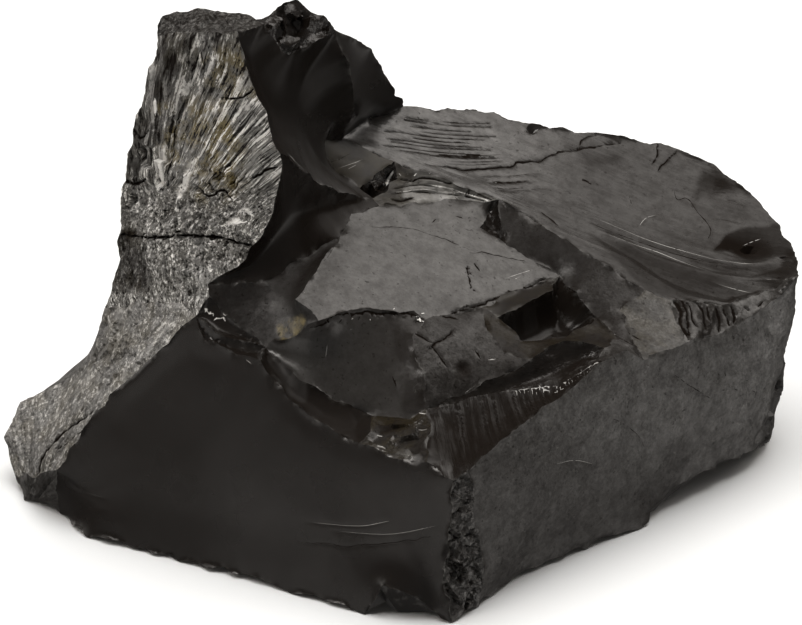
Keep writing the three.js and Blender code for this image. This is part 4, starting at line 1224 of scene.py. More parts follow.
set_style(
    "plateau", step="even", bulge=0.5, matte=0.3, tone=0.1, grain=0.1,
    shades=[([(-8.5, 36), (-5.6, 40.5), (-4.8, 36), (-9, 30)], 2, 0.2)],
    lines=[
        ("crack", [[(-3.1, 39.2), (0.5, 38.9), (2.9, 38.2), (5.7, 37.2), (6.7, 36.8)], [(6.9, 36.4),
            (8.3, 36.6), (10.9, 36), (13.1, 35.7)]], 0.05, 0.04),
        ("crack", [(6.4, 35.2), (6.7, 34.2), (7, 33), (7.7, 32.5)], 0.06, 0.08),
        ("crack", crumbs([(6.4, 35.2), (6.9, 34), (7.4, 32.8)], 0.4, 0.3, 0.4, 17), 0.07, 0.1),
        ("crack", [(7.3, 35.3), (7.9, 34.6)], 0.08, 0.08),
        ("crack", [[(3, 39.4), (3.8, 39.9)], [(5.4, 40.2), (6.3, 40)]], 0.06, 0.05),
        ("line", comb([(-6, 39), (-5, 38.95), (-4.2, 38.9)], 4, 0.26, 0.2, 5), 0.05, 0.04),
        ("gleam", [(9.5, 33.8), (11.9, 34.5), (14.7, 35.4)], 0.07, 0.03),
        ("crack", [(3.6, 30.2), (6, 30.8), (8, 31.4), (10, 32.2), (13, 33.4), (15.2, 34.4)],
            0.12, 0.15),
        ("crack", crumbs([(3.6, 30.2), (8, 31.4), (12, 33.1)], 0.7, 0.25, 0.5, 7), 0.08, 0.1),
        ("glare", crumbs([(-8, 30.6), (-4, 31), (0, 30.9), (3, 30.4)],
            0.8, 0.25, 0.3, 8), 0.05, 0),
        ("gleam", [(-10.1, 32.8), (-8.5, 34), (-7, 35)], 0.05, 0),
        ("gleam", [(-10.4, 32.2), (-8.8, 33), (-6.8, 33.8)], 0.06, 0),
        ("line", [[(-9.8, 31.9), (-8.2, 32.4), (-5.8, 32.8)], [(-8.8, 35), (-7.4, 36),
            (-6.6, 37.2)]], 0.06, 0.03),
        ("line", crumbs([(-4, 37), (2, 34.8), (8, 38.5)], 1.7, 1.6, 0.35, 11), 0.05, 0.02),
        ("gleam", [(9.7, 33.3), (11.2, 33.9), (12.5, 34.4)], 0.04, 0.02),
        ("line", comb([(-12, 33.4), (-10, 33.8), (-8, 33.9)], 4, 0.35, 0.3, 6), 0.05, 0.04),
    ],
    forms=[
        form(swell, size=10, height=0.2, salt=107),
        form(bands, line=[(-8, 33.4), (-2, 31.9), (6, 31.6)], spacing=0.9, spread=1.5, height=0.04,
            salt=113),
    ],
)
set_style(
    "valleyWall", step="even", bulge=-1.2, matte=0.2, shade=0.5,
    shades=[
        ([(-9.5, 42.6), (-2.6, 43), (-1.6, 41.4), (-5, 39.8), (-6.4, 37), (-8.6, 33),
            (-10, 35), (-9.6, 38.4)], 0.8, 0.38),
    ],
    forms=[form(swell, size=6, height=0.1, salt=127)],
)
set_style(
    "basin", step="fine", bulge=-0.4, matte=0.6, grain=0.15, shade=0.2,
    shades=[
        ([(-12.3, 30.2), (-11.1, 30.6), (-9.7, 29.8), (-10.5, 28.6), (-11.7, 28), (-12.6, 28.7)],
            0.2, -0.9),
        ([(-13.6, 34.5), (-8, 34.5), (-7.5, 30.5), (-13, 30.5)], 1, -0.4),
    ],
    stains=[
        ([(-12.4, 30.4), (-9.5, 30.2), (-10.3, 28.4), (-11.1, 27.6), (-12.3, 29)], 0.15, 1.6),
    ],
    lines=[
        ("gleam", [(-18.6, 30.5), (-17.4, 30.9)], 0.1, 0),
        ("glare", crumbs([(-18.8, 31.2), (-17.4, 30.2), (-16.6, 30)],
            0.4, 0.25, 0.4, 15), 0.08, -0.05),
        ("crack", [(-10.4, 28.3), (-9.6, 28.9), (-8.8, 29.2)], 0.12, 0.1),
    ],
    forms=[form(swell, size=5, height=0.03, salt=131)],
)
set_style(
    "ledgeUpper", step="fine", bulge=-0.5, matte=0.15, shade=0.2,
    lines=[
        ("glare", crumbs([(-19.4, 31.2), (-18.4, 30.6), (-17.4, 30)],
            0.3, 0.25, 0.5, 17), 0.1, 0),
    ],
)
set_style("ledgeLower", step="fine", bulge=-0.6, matte=0.15)
set_style(
    "scoop", step="even", bulge=-0.25, matte=0.3, tone=0.05, grain=0.06, shade=-0.12,
    shades=[
        ([(-0.8, 29), (-1.5, 30.9), (2.5, 30.6), (2.2, 28.8), (2.6, 25), (2.4, 21.2), (0.2, 21),
            (0.6, 24.6), (-0.4, 26.6)], 0.3, 0.6),
        ([(-10.5, 30), (-3.6, 30), (-3.2, 23), (-9, 23)], 1.5, -0.3),
    ],
    lines=[
        ("crack", [(-8.8, 29.2), (-6.1, 30.4), (-3.1, 30.7), (0.9, 30.5), (2.8, 29.8)], 0.13, 0.1),
        ("crack", crumbs([(-8.4, 29.2), (-4.4, 30.2), (-0.4, 30.4), (1.6, 29.9)],
            0.7, 0.25, 0.5, 12), 0.07, 0.08),
        ("glare", crumbs([(-5, 30.2), (-1, 30.3)], 1.7, 0.3, 0.35, 18), 0.05, 0),
        ("glare", crumbs([(1.3, 30.2), (2.2, 29.6), (2.9, 29.3)], 0.3, 0.3, 0.4, 13), 0.12, -0.1),
        ("crack", [(-0.7, 24.3), (-0.5, 23.5)], 0.1, 0.02),
        ("gleam", [(-5.2, 29), (-4.6, 29.1)], 0.06, 0),
        ("gleam", [(-7.2, 27.6), (-7.4, 26.2)], 0.05, 0),
    ],
    forms=[form(swell, size=6, height=0.08, salt=137)],
)
set_style(
    "gutter", step="rough", bulge=-0.6, matte=0.6, shade=0.85,
    shades=[([(-13.4, 26.3), (-10.6, 26.2), (-9.2, 23.2), (-9.8, 22), (-12.2, 24)], 0.3, -0.5)],
    forms=[form(crushed, size=2.4, height=0.06, salt=139)],
)
set_style(
    "paleFacet", step="finest", matte=0.08, tone=0.05, stain=0.08, grain=0.15,
    shades=[
        ([(2, 20.5), (3.4, 20), (3.2, 16.4), (1.4, 16.8)], 0.5, 0.35),
        ([(-3.8, 19), (-2, 18.8), (1.2, 19.4), (1.2, 20.8), (-3, 20.8)], 0.3, 0.9),
    ],
    lines=[
        ("gleam", [(1.7, 20.8), (2.7, 20.6), (3.2, 19.7)], 0.12, 0),
        ("gleam", [[(1.3, 19.3), (2.1, 19.1), (2.9, 19.3)], [(-3.3, 17.7), (-1.5, 17),
            (1.5, 16.5)]], 0.1, 0),
        ("gleam", [(-2.4, 18.8), (-1.6, 18.6)], 0.15, 0),
        ("gleam", [(-2.5, 17.6), (-1.3, 17.4)], 0.18, 0),
    ],
    forms=[form(crushed, size=1.9, height=0.4, salt=149)],
)
set_style(
    "middle", step="fine", bulge=0.3, matte=0.55, tone=0.05, grain=0.2, shade=0.18,
    shades=[
        ([(-0.5, 31.5), (6, 31.5), (6, 29), (-0.5, 28.4)], 0.8, 0.3),
        ([(5.3, 25.5), (6.2, 25.7), (7, 25), (6.6, 24.2), (5.5, 24.2)], 0.3, 0.7),
    ],
    lines=[
        ("crack", [(2.9, 27), (4.1, 28), (5.2, 28.9)], 0.14, 0.15),
        ("crack", [(3.1, 27.2), (3.7, 26.4), (4.5, 25.2)], 0.1, 0.1),
        ("crack", [(0.3, 28.6), (1.7, 28.4), (2.9, 27.6)], 0.12, 0.12),
        ("crack", [(3.2, 30.6), (5, 30.2), (6, 29.8)], 0.1, 0.08),
        ("crack", [(7.4, 26.8), (7.9, 26)], 0.12, 0.12),
        ("gleam", [(8.6, 25.9), (9.4, 26)], 0.1, 0),
        ("gleam", [(4.9, 21.6), (7, 23.2), (8.9, 24.6)], 0.04, 0),
    ],
    forms=[
        form(grit, size=1.8, height=0.06, salt=151),
        form(hollow, centre=(6.1, 25), radius=0.9, deep=0.35),
    ],
)
set_style(
    "slot", step="rough", bulge=-1.2, matte=0.12, grain=0.2, shade=0.3,
    flow=form(line_grain, line=SLOT_LINE, stretch=0.2),
    forms=[form(bands, line=SLOT_LINE, spacing=0.8, spread=3, height=0.2, salt=157)],
)
set_style(
    "hackledBand", step="finest", bulge=-0.6, matte=0.3, grain=0.3, comb=1, shade=0.45,
    flow=form(line_grain, line=HACKLE_LINE, stretch=9),
    shades=[([(4, 20.5), (9, 22.3), (14, 23.4), (17, 25.2), (19, 22), (8, 16), (3, 17)], 0.8, 0.4)],
    lines=[
        ("gleam", [(10.1, 22.9), (11.7, 23.1), (14.7, 23.5), (15.8, 23.7), (17.3, 24.6),
            (19, 25.6), (20.1, 26.2)], 0.07, 0),
        ("gleam", hatch([(11.5, 22.8), (14.7, 23.1), (15.8, 23.3), (17.3, 24.2), (19, 25.2),
            (20.1, 26)], 0.35, 0.5, 9), 0.06, 0),
    ],
    forms=[
        form(ribs, line=HACKLE_LINE, spacing=0.4, spread=3.5, height=0.1, salt=163),
        form(grit, size=1.6, height=0.05, salt=167),
    ],
)
set_style("browFacet", step="fine", matte=0.4, tone=0.05, grain=0.3, shade=0.2)
set_style(
    "notchLip", step="fine", matte=0.4, stain=0.05, grain=0.15, shade=0.7,
    forms=[form(swell, size=4, height=0.1, salt=173)],
)
set_style("notchHollow", step="fine", bulge=-3, matte=0.1, shade=0.7)
set_style("notchRoof", step="fine", matte=0.3, tone=0.1, stain=0.05, shade=0.65)
set_style(
    "endFace", step="fine", matte=0.5, tone=0.1, grain=0.3,
    forms=[form(crushed, size=2, height=0.5, salt=179)],
)
set_style("undercut", matte=0.4, grain=0.2)
set_style("backRightLow", matte=0.4, grain=0.2, forms=[form(swell, size=9, height=0.4, salt=181)])
set_style(
    "backEnd", bulge=0.8, matte=0.2, grain=0.1,
    forms=[form(swell, size=9, height=0.4, salt=191)],
)
set_style(
    "backSlab", bulge=-1, matte=0.15, grain=0.1,
    forms=[form(swell, size=12, height=0.4, salt=193)],
)
set_style("backLow", matte=0.4, grain=0.2, forms=[form(swell, size=9, height=0.4, salt=197)])
set_style("backLowLeft", matte=0.4, grain=0.2, forms=[form(swell, size=9, height=0.4, salt=199)])
set_style("towerBackRight", matte=0.2, grain=0.1, forms=[form(swell, size=9, height=0.4, salt=211)])
set_style(
    "towerBackMiddle", bulge=-1, matte=0.15, grain=0.1,
    forms=[form(swell, size=9, height=0.3, salt=223)],
)
set_style(
    "towerSide", bulge=0.6, matte=0.5, tone=0.4, stain=0.3, grain=0.6,
    forms=[form(swell, size=7, height=0.5, salt=227), form(grit, size=2, height=0.15, salt=229)],
)
set_style(
    "armBack", bulge=0.5, matte=0.5, tone=0.3, grain=0.6,
    forms=[form(swell, size=7, height=0.5, salt=233)],
)
set_style("leftLow", matte=0.5, tone=0.3, grain=0.6)
set_style("leftBackLow", matte=0.4, tone=0.2, grain=0.4)
set_style("underside", step="foot", clear=1.2, matte=0.5, rests=True)


# Each kind of drawn line: what it darkens or lights, and how faint it is.
# Gleam and glare lines are painted highlights.
LINE_KINDS = {"crack": ("dark", 0.2), "line": ("dark", 0.65), "gleam": ("gleam", 0.8),
              "glare": ("gleam", 0.2)}


def drawn_paths(style):
    """The paths of a face's drawn lines, as (kind, path, half-width, depth)."""
    paths = []
    for kind, line, half_width, deep in style.get("lines", []):
        for one in [line] if np.ndim(line[0]) == 1 else line:
            paths.append((kind, line_path(one, kind == "crack"), half_width, deep))
    return paths


def beside(path, away):
    """The points this far to each side of a path."""
    run = np.gradient(path, axis=0)
    side = np.column_stack([-run[:, 1], run[:, 0]])
    side /= np.linalg.norm(side, axis=1)[:, None] + 1e-9
    return np.vstack([path + away * side, path - away * side])


def apart(points, gap):
    """The points that don't share a cell of this size with an earlier one."""
    _, first = np.unique(np.round(points / gap).astype(int), axis=0, return_index=True)
    return points[np.sort(first)]


def clear_of(points, others, gap):
    """The points further than this from all the others."""
    tree = KDTree(len(others))
    for i, (x, y) in enumerate(others):
        tree.insert((x, y, 0), i)
    tree.balance()
    far = [tree.find((x, y, 0))[2] > gap for x, y in points]
    return points[np.array(far, bool)]


def face_rim(name):
    """The chipped rim of a face, and its points as they lie on the straight ridges."""
    corners = LOOPS[name].split()
    rim, straight = [], []
    for first, last in zip(corners, corners[1:] + corners[:1]):
        stretch = ridge(first, last, RIM_STEP)
        share = np.arange(len(stretch))[:, None] / len(stretch)
        straight.extend((1 - share) * np.array(CORNERS[first]) + share * np.array(CORNERS[last]))
        rim.extend(stretch)
    return np.array(rim), np.array(straight)


def inner_points(style, face, outline, paths):
    """Flat points inside a face: even rows, and rows beside its rim and its drawn lines."""
    edge = outline[:, :2]
    step = SPACING[style.get("step", "plain")]
    clear = style.get("clear", 0.55 * min(step, RIM_STEP * 1.6))
    inner = fill_points(edge, step, clear)
    borders = [curved(area + area[:1], LINE_STEP)
               for area, soft, _ in style.get("shades", []) if soft < FIRM_EDGE]
    drawn = [path for _, path, _, _ in paths] + borders
    fixed = beside(edge, RIM_FLANK)
    if drawn:
        flats = [on_face(face, outline, path) for path in drawn]
        traced = apart(np.vstack(flats), 0.5 * LINE_CLEAR)
        flanks = np.vstack([beside(flat, 1.2 * LINE_CLEAR) for flat in flats])
        fixed = np.vstack([fixed, clear_of(flanks, traced, 0.9 * LINE_CLEAR)])
        fixed = np.vstack([clear_of(fixed, traced, 0.9 * LINE_CLEAR), traced])
    fixed = apart(fixed, 0.5 * LINE_CLEAR)
    fixed = fixed[depth_inside(fixed, edge) > 0.9 * min(clear, RIM_FLANK)]
    if step < SPACING["plain"] and len(fixed):
        inner = np.vstack([clear_of(inner, fixed, LINE_CLEAR), fixed])
    return inner


def join_up(name, flat, rim_count):
    """Triangles over a face's flat points, of which the rim comes first."""
    edges = [(i, (i + 1) % rim_count) for i in range(rim_count)]
    flat = [Vector(point) for point in flat]
    found, _, triangles, _, _, _ = delaunay_2d_cdt(flat, edges, [list(range(rim_count))], 1, 1e-6)
    if len(found) != len(flat):
        raise RuntimeError(f"the outline of {name} crosses itself")
    return np.array(triangles)


def spanned(face, outline, straight, inner, depth):
    """Inner points on the surface that the rim holds; its chips fade out into the face."""
    even = outline.copy()
    even[:, 2] = face.flatten(straight)[:, 2]
    height = span_height(inner, even)
    close = depth < 4 * CHIP_REACH
    fade = np.exp(-depth[close] / CHIP_REACH)
    height[close] += fade * (span_height(inner[close], outline) - height[close])
    return face.lift(np.column_stack([inner, height]))


def carry_finish_and_painted_light(style, whole, carried):
    """Add a face's flow and its areas to what its points carry."""
    carried["flow"] = whole.points
    if "flow" in style:
        field, sizes = style["flow"]
        carried["flow"] = field(whole, **sizes)
    # shade and shades are painted shade, and painted light where they fall below 0
    for key, areas in (("shade", "shades"), ("stain", "stains"), ("comb", "combs")):
        carried[key] = np.full(len(whole.drawn), float(style.get(key, 0)))
        for area, soft, strength in style.get(areas, []):
            inside = depth_inside(whole.drawn, curved(area + area[:1], AREA_STEP)[:-1])
            carried[key] += strength * smooth(-soft, soft, inside)


def build_face(name, relief):
    """One face: its points in mm, its triangles, how deep each point lies inside the face,
    and what each point carries of the finish, the painted shade and the painted highlights."""
    style = STYLES.get(name, {})
    rim, straight = face_rim(name)
    face = FaceFrame(rim)
    outline = face.flatten(rim)
    paths = drawn_paths(style)
    inner = inner_points(style, face, outline, paths)
    triangles = join_up(name, np.vstack([outline[:, :2], inner]), len(rim))
    depth = np.concatenate([np.zeros(len(rim)), depth_inside(inner, outline[:, :2])])
    base = spanned(face, outline, straight, inner, depth[len(rim) :])
    spot = Spot(base, depth[len(rim) :])
    share = spot.depth / max(1.0, depth.max())
    out = style.get("bulge", 0) * share * (2 - share)
    for shape, sizes in style.get("forms", []):
        out = out + relief * shape(spot, **sizes)
    whole = Spot(np.vstack([rim, base]), depth)
    carried = {"dark": np.full(len(depth), FAR), "gleam": np.full(len(depth), FAR)}
    for kind, path, half_width, deep in paths:
        distance = line_distance(whole, path, half_width)
        key, faint = LINE_KINDS[kind]
        carried[key] = np.minimum(carried[key], distance + faint)
        out = out - relief * deep * np.exp(-(distance[len(rim) :] ** 2)) * settle(spot, 0.3)
    carry_finish_and_painted_light(style, whole, carried)
    placed = base + out[:, None] * face.normal
    placed[:, 2] = 0 if style.get("rests") else np.maximum(placed[:, 2], LEAST_HEIGHT)
    return np.vstack([rim, placed]), triangles, depth, carried


# ---- the stone's mesh ----
# what each corner carries: the finish, the painted shade (shade) and the painted highlights (gleam)
FINISH_AND_PAINTED_LIGHT_KEYS = ("matte", "tone", "stain", "grain", "comb", "edge", "dark", "gleam", "shade")


def stone_mesh(look):
    """The whole stone as one closed mesh, in metres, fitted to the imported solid's box."""
    points = []
    triangles = []
    finish_and_painted_light = {key: [] for key in FINISH_AND_PAINTED_LIGHT_KEYS}
    flows = []
    ridge_ids = {}
    for name in LOOPS:
        placed, corners, depth, carried = build_face(name, look.relief)
        ids = []
        for place, deep in zip(placed, depth):
            key = tuple(np.round(place, 5))
            if deep == 0 and key in ridge_ids:
                ids.append(ridge_ids[key])
                continue
            if deep == 0:
                ridge_ids[key] = len(points)
            ids.append(len(points))
            points.append(place)
        ids = np.array(ids)
        triangles.append(ids[corners])
        style = STYLES.get(name, {})
        for key in ("matte", "tone", "grain"):
            finish_and_painted_light[key].append(np.full(corners.size, float(style.get(key, 0))))
        finish_and_painted_light["edge"].append(np.exp(-depth[corners].ravel() / EDGE_REACH))
        for key in ("dark", "gleam", "shade", "stain", "comb"):
            finish_and_painted_light[key].append(carried[key][corners].ravel())
        flows.append(carried["flow"][corners].reshape(-1, 3))
    points = np.array(points)
    triangles = np.vstack(triangles)
    low, high = points.min(0), points.max(0)
    scale = ((BOX_HIGH - BOX_LOW) / (high - low)).min()
    middle = (low + high) / 2
    middle[2] = low[2]
    centre = (BOX_HIGH + BOX_LOW) / 2
    centre[2] = BOX_LOW[2]
    points = (points - middle) * scale + centre
    mesh = bpy.data.meshes.new("stone_surface")
    mesh.from_pydata(points.tolist(), [], triangles.tolist())
    for key in FINISH_AND_PAINTED_LIGHT_KEYS:
        attribute = mesh.attributes.new(key, "FLOAT", "CORNER")
        attribute.data.foreach_set("value", np.concatenate(finish_and_painted_light[key]).astype(np.float32))
    attribute = mesh.attributes.new("flow", "FLOAT_VECTOR", "CORNER")
    attribute.data.foreach_set("vector", np.vstack(flows).ravel().astype(np.float32))
    mesh.shade_smooth()
    mesh.set_sharp_from_angle(angle=math.radians(SHARP_FROM))
    on_ridge = np.zeros(len(points), bool)
    on_ridge[list(ridge_ids.values())] = True
    ends = np.zeros(2 * len(mesh.edges), np.int32)
    mesh.edges.foreach_get("vertices", ends)
    sharp = np.zeros(len(mesh.edges), bool)
    crease = mesh.attributes["sharp_edge"].data
    crease.foreach_get("value", sharp)
    crease.foreach_set("value", sharp | on_ridge[ends.reshape(-1, 2)].all(1))
    return mesh


# ---- finish: how wide each part of the grain is, in mm ----
SPECK, COMBED, FLAKE, PLATE = 0.3, 0.25, 0.42, 0.32  # of rough, combed, broken and split stone
SWATHE, BUNCH = 2.4, 1.5  # runs of paler grain, and gatherings of its painted highlights
SMALL_SHARD, LARGE_SHARD, PIT = 0.35, 1.1, 0.5
WEAR, MOTTLE, CLOUD, PATCH = 0.8, 1.4, 5, 3  # fine wear, broad wear, gloss and ochre
FLAKE_SHARE, PLATE_SHARE = 0.2, 0.22  # how much of the grain is flakes or plates


class Nodes:
    """Short calls for laying out a node tree."""

    def __init__(self, tree):
        self.tree = tree
        tree.nodes.clear()

    def add(self, kind, **settings):
        """A new node with these settings."""
        node = self.tree.nodes.new(kind)
        for key, value in settings.items():
            setattr(node, key, value)
        return node

    def join(self, source, target):
        """Link an output to an input."""
        self.tree.links.new(source, target)

    def put(self, socket, value):
        """Feed a socket from another node, or give it a value of its own."""
        if isinstance(value, bpy.types.NodeSocket):
            self.join(value, socket)
        else:
            socket.default_value = value

    def math(self, kind, first, second=0.0, third=0.0):
        """One sum on two or three values."""
        node = self.add("ShaderNodeMath", operation=kind)
        for socket, value in zip(node.inputs, (first, second, third)):
            self.put(socket, value)
        return node.outputs[0]

    def times(self, first, second):
        """The product of two values."""
        return self.math("MULTIPLY", first, second)

    def blend(self, first, second, share):
        """The first value, turning into the second as the share goes from 0 to 1."""
        return self.math("MULTIPLY_ADD", self.math("SUBTRACT", second, first), share, first)

    def attribute(self, name):
        """A value that the mesh carries."""
        return self.add("ShaderNodeAttribute", attribute_name=name).outputs["Fac"]

    def noise(self, place, size, detail=3.0, rough=0.55):
        """Noise from 0 to 1 whose lumps are this many mm across, for a place in metres."""
        node = self.add("ShaderNodeTexNoise")
        self.put(node.inputs["Vector"], place)
        node.inputs["Scale"].default_value = 1 / (size * MM)
        node.inputs["Detail"].default_value = detail
        node.inputs["Roughness"].default_value = rough
        return node.outputs["Fac"]

    def cells(self, place, size):
        """Cells about this many mm across: each has a colour of its own."""
        node = self.add("ShaderNodeTexVoronoi")
        self.put(node.inputs["Vector"], place)
        node.inputs["Scale"].default_value = 1 / (size * MM)
        return node.outputs

    def spread(self, value, low, high, least=0.0, most=1.0):
        """A soft step: least where value is at low, most where it is at high."""
        node = self.add("ShaderNodeMapRange", interpolation_type="SMOOTHSTEP")
        for key, given in (("Value", value), ("From Min", low), ("From Max", high),
                           ("To Min", least), ("To Max", most)):
            self.put(node.inputs[key], given)
        return node.outputs["Result"]

    def mix(self, share, first, second):
        """The first colour, turning into the second as the share goes from 0 to 1."""
        node = self.add("ShaderNodeMix", data_type="RGBA")
        self.put(node.inputs["Factor"], share)
        for key, colour in (("A", first), ("B", second)):
            socket = [s for s in node.inputs if s.name == key and s.type == "RGBA"][0]
            self.put(socket, colour)
        return [s for s in node.outputs if s.type == "RGBA"][0]

    def shards(self, place, size, strength):
        """A tilt of its own for each shard about this many mm across."""
        middle = self.add("ShaderNodeVectorMath", operation="SUBTRACT")
        self.join(self.cells(place, size)["Color"], middle.inputs[0])
        middle.inputs[1].default_value = (0.5, 0.5, 0.5)
        scaled = self.add("ShaderNodeVectorMath", operation="SCALE")
        self.join(middle.outputs[0], scaled.inputs[0])
        self.put(scaled.inputs["Scale"], strength)
        return scaled.outputs[0]

    def tilted(self, normal, *tilts):
        """A normal leaned over by these tilts."""
        for tilt in tilts:
            total = self.add("ShaderNodeVectorMath", operation="ADD")
            self.join(normal, total.inputs[0])
            self.join(tilt, total.inputs[1])
            normal = total.outputs[0]
        unit = self.add("ShaderNodeVectorMath", operation="NORMALIZE")
        self.join(normal, unit.inputs[0])
        return unit.outputs[0]

    def bump(self, height, strength, distance, normal=None):
        """A normal that follows a height, of this many mm at full strength."""
        node = self.add("ShaderNodeBump")
        self.put(node.inputs["Height"], height)
        self.put(node.inputs["Strength"], strength)
        node.inputs["Distance"].default_value = distance * MM
        if normal is not None:
            self.join(normal, node.inputs["Normal"])
        return node.outputs["Normal"]


def new_material(name):
    """A new material, its nodes, its shader and the place of each point in metres."""
    material = bpy.data.materials.new(name)
    material.use_nodes = True
    nodes = Nodes(material.node_tree)
    shader = nodes.add("ShaderNodeBsdfPrincipled")
    output = nodes.add("ShaderNodeOutputMaterial")
    nodes.join(shader.outputs["BSDF"], output.inputs["Surface"])
    return material, nodes, shader, nodes.add("ShaderNodeTexCoord").outputs["Object"]


def stone_material(look):
    """Black glassy stone: bright where it broke clean, grey and dull where it broke rough;
    painted shade and painted highlights are laid on its colour and its sheen.
    """
    material, nodes, shader, place = new_material("shungite_black")
    matte, tone, stain, grain, comb, edge, dark, gleam, shade = (
        nodes.attribute(key) for key in FINISH_AND_PAINTED_LIGHT_KEYS)
    flow_place = nodes.add("ShaderNodeAttribute", attribute_name="flow").outputs["Vector"]

    # the fine grain: specks and flakes, drawn out along the flow where the face is combed;
    # the flow is in mm, so a size along it is divided by MM
    broad = nodes.noise(place, CLOUD)
    fine = nodes.noise(place, WEAR, 4)
    speck = nodes.noise(place, SPECK, 2, 0.7)
    combed = nodes.noise(flow_place, COMBED / MM, 3, 0.75)
    texture = nodes.blend(speck, combed, comb)
    plates = nodes.cells(flow_place, PLATE / MM)["Color"]
    texture = nodes.blend(texture, plates, nodes.times(comb, PLATE_SHARE))
    flakes = nodes.cells(place, FLAKE)["Color"]
    uncombed = nodes.times(nodes.math("SUBTRACT", 1, comb), FLAKE_SHARE)
    texture = nodes.blend(texture, flakes, uncombed)
    swathes = nodes.noise(flow_place, SWATHE / MM, 3)

    # drawn lines, and how much colour and sheen the wear mottle and the painted shade leave;
    # where the shade is below 0 it is painted light
    jitter = nodes.spread(fine, 0.3, 0.7, -0.3, 0.3)
    hair = nodes.spread(nodes.math("ADD", dark, jitter), 0.6, 1.5, 1, 0)
    shine = nodes.spread(gleam, 0.5, 1.4, 1, 0)
    worn = nodes.spread(nodes.noise(place, MOTTLE, 7, 0.75), 0.3, 0.7, -1, 1)
    wear = nodes.spread(grain, 0, 0.15, 0.08, look.wear)
    painted_light_and_wear = nodes.times(nodes.math("SUBTRACT", 1, shade),
                      nodes.math("MULTIPLY_ADD", worn, wear, 1))

    # colour: grey dust dimmed by the painted shade, chipped ridges, ochre, painted highlights on
    # the splinters and gleam lines, then pits and cracks over all
    dust_and_painted_shade = nodes.times(nodes.times(tone, painted_light_and_wear), nodes.spread(swathes, 0.3, 0.7, 0.65, 1.15))
    colour = nodes.mix(dust_and_painted_shade, (*look.black, 1), (*look.grey, 1))
    chipped = nodes.times(edge, nodes.spread(fine, 0.5, 0.7, 0, 0.3))
    colour = nodes.mix(chipped, colour, (*look.grey, 1))
    patch = nodes.spread(nodes.noise(place, PATCH, 5, 0.7), 0.42, 0.6)
    patch = nodes.times(patch, nodes.times(stain, look.stain_share))
    colour = nodes.mix(patch, colour, (*look.ochre, 1))
    # painted highlights: glint lays pale sparkles on the splinters of the rough faces, and shine
    # lays them along the gleam and glare lines
    glint = nodes.times(nodes.spread(texture, 0.53, 0.59), nodes.times(grain, tone))
    bunches = nodes.spread(nodes.noise(place, BUNCH, 4), 0.38, 0.62, 0.5, 1.1)
    glint = nodes.times(glint, bunches)
    colour = nodes.mix(nodes.math("MAXIMUM", nodes.times(glint, painted_light_and_wear), shine),
                       colour, (*look.glint, 1))
    pits = nodes.times(nodes.spread(nodes.noise(place, PIT, 3), 0.63, 0.7),
                       nodes.spread(grain, 0, 0.1, 0.1, 0.8))
    gap = nodes.math("MAXIMUM", nodes.times(nodes.spread(texture, 0.41, 0.48, 1, 0), grain), pits)
    colour = nodes.mix(nodes.math("MAXIMUM", hair, gap), colour, (*look.black, 1))

    rough = nodes.math("MULTIPLY_ADD", matte, 0.6, look.gloss_roughness)
    rough = nodes.math("ADD", rough, nodes.spread(broad, 0.3, 0.7, -0.03, 0.05))
    rough = nodes.math("ADD", rough, nodes.times(hair, 0.4))

    # relief too fine for the mesh, and the sheen that is left in it under the painted shade
    broken = nodes.spread(nodes.noise(place, 2.5), 0.45, 0.6, 0.1, look.crumble)
    crumble = nodes.math("MAXIMUM", grain, nodes.times(edge, broken))
    ridged = nodes.bump(texture, grain, 0.3)
    grooved = nodes.bump(hair, -1, 0.1, ridged)
    coarse = nodes.times(nodes.times(grain, grain), look.shards)
    large = nodes.shards(flow_place, LARGE_SHARD / MM, coarse)
    small = nodes.shards(flow_place, SMALL_SHARD / MM, nodes.times(crumble, look.shards))
    normal = nodes.tilted(grooved, large, small)
    dull = nodes.math("MAXIMUM", hair, nodes.times(gap, 0.7))
    dulled = nodes.math("SUBTRACT", 1, dull)
    sheen = nodes.times(nodes.times(painted_light_and_wear, 0.5), dulled)

    shader.inputs["IOR"].default_value = look.ior
    nodes.join(colour, shader.inputs["Base Color"])
    nodes.join(rough, shader.inputs["Roughness"])
    nodes.join(sheen, shader.inputs["Specular IOR Level"])
    nodes.join(normal, shader.inputs["Normal"])
    return material


def plain_material(name, colour, roughness):
    """A dull material with a faint mottle."""
    material, nodes, shader, place = new_material(name)
    shade = nodes.spread(nodes.noise(place, 60, 2), 0.3, 0.7, 0, 0.04)
    nodes.join(nodes.mix(shade, (*colour, 1), (0.5, 0.5, 0.5, 1)), shader.inputs["Base Color"])
    shader.inputs["Roughness"].default_value = roughness
    return material


# ---- stage ----
SENSOR = 36.0  # mm: width of the camera's sensor

# Soft panels of light: name, bearing, height, half-width and soft edge in degrees, radiance.
# Bearing 0 is straight behind the stone and 90 is to its right.
PANELS = [
    ("back right", 52, 45, 26, 10, 1.35),
    ("left", -80, 28, 22, 14, 0.9),
    ("low left", -48, 8, 14, 12, 1),
    ("glint", -120, 50, 7, 5, 6),
    ("low right", 108, -34, 24, 12, 0.75),
    ("front left", -128, -18, 14, 14, 0.3),
]


def facing(bearing, height):
    """The direction with this bearing and height."""
    bearing, height = math.radians(bearing), math.radians(height)
    return (math.sin(bearing) * math.cos(height), math.cos(bearing) * math.cos(height),
            math.sin(height))


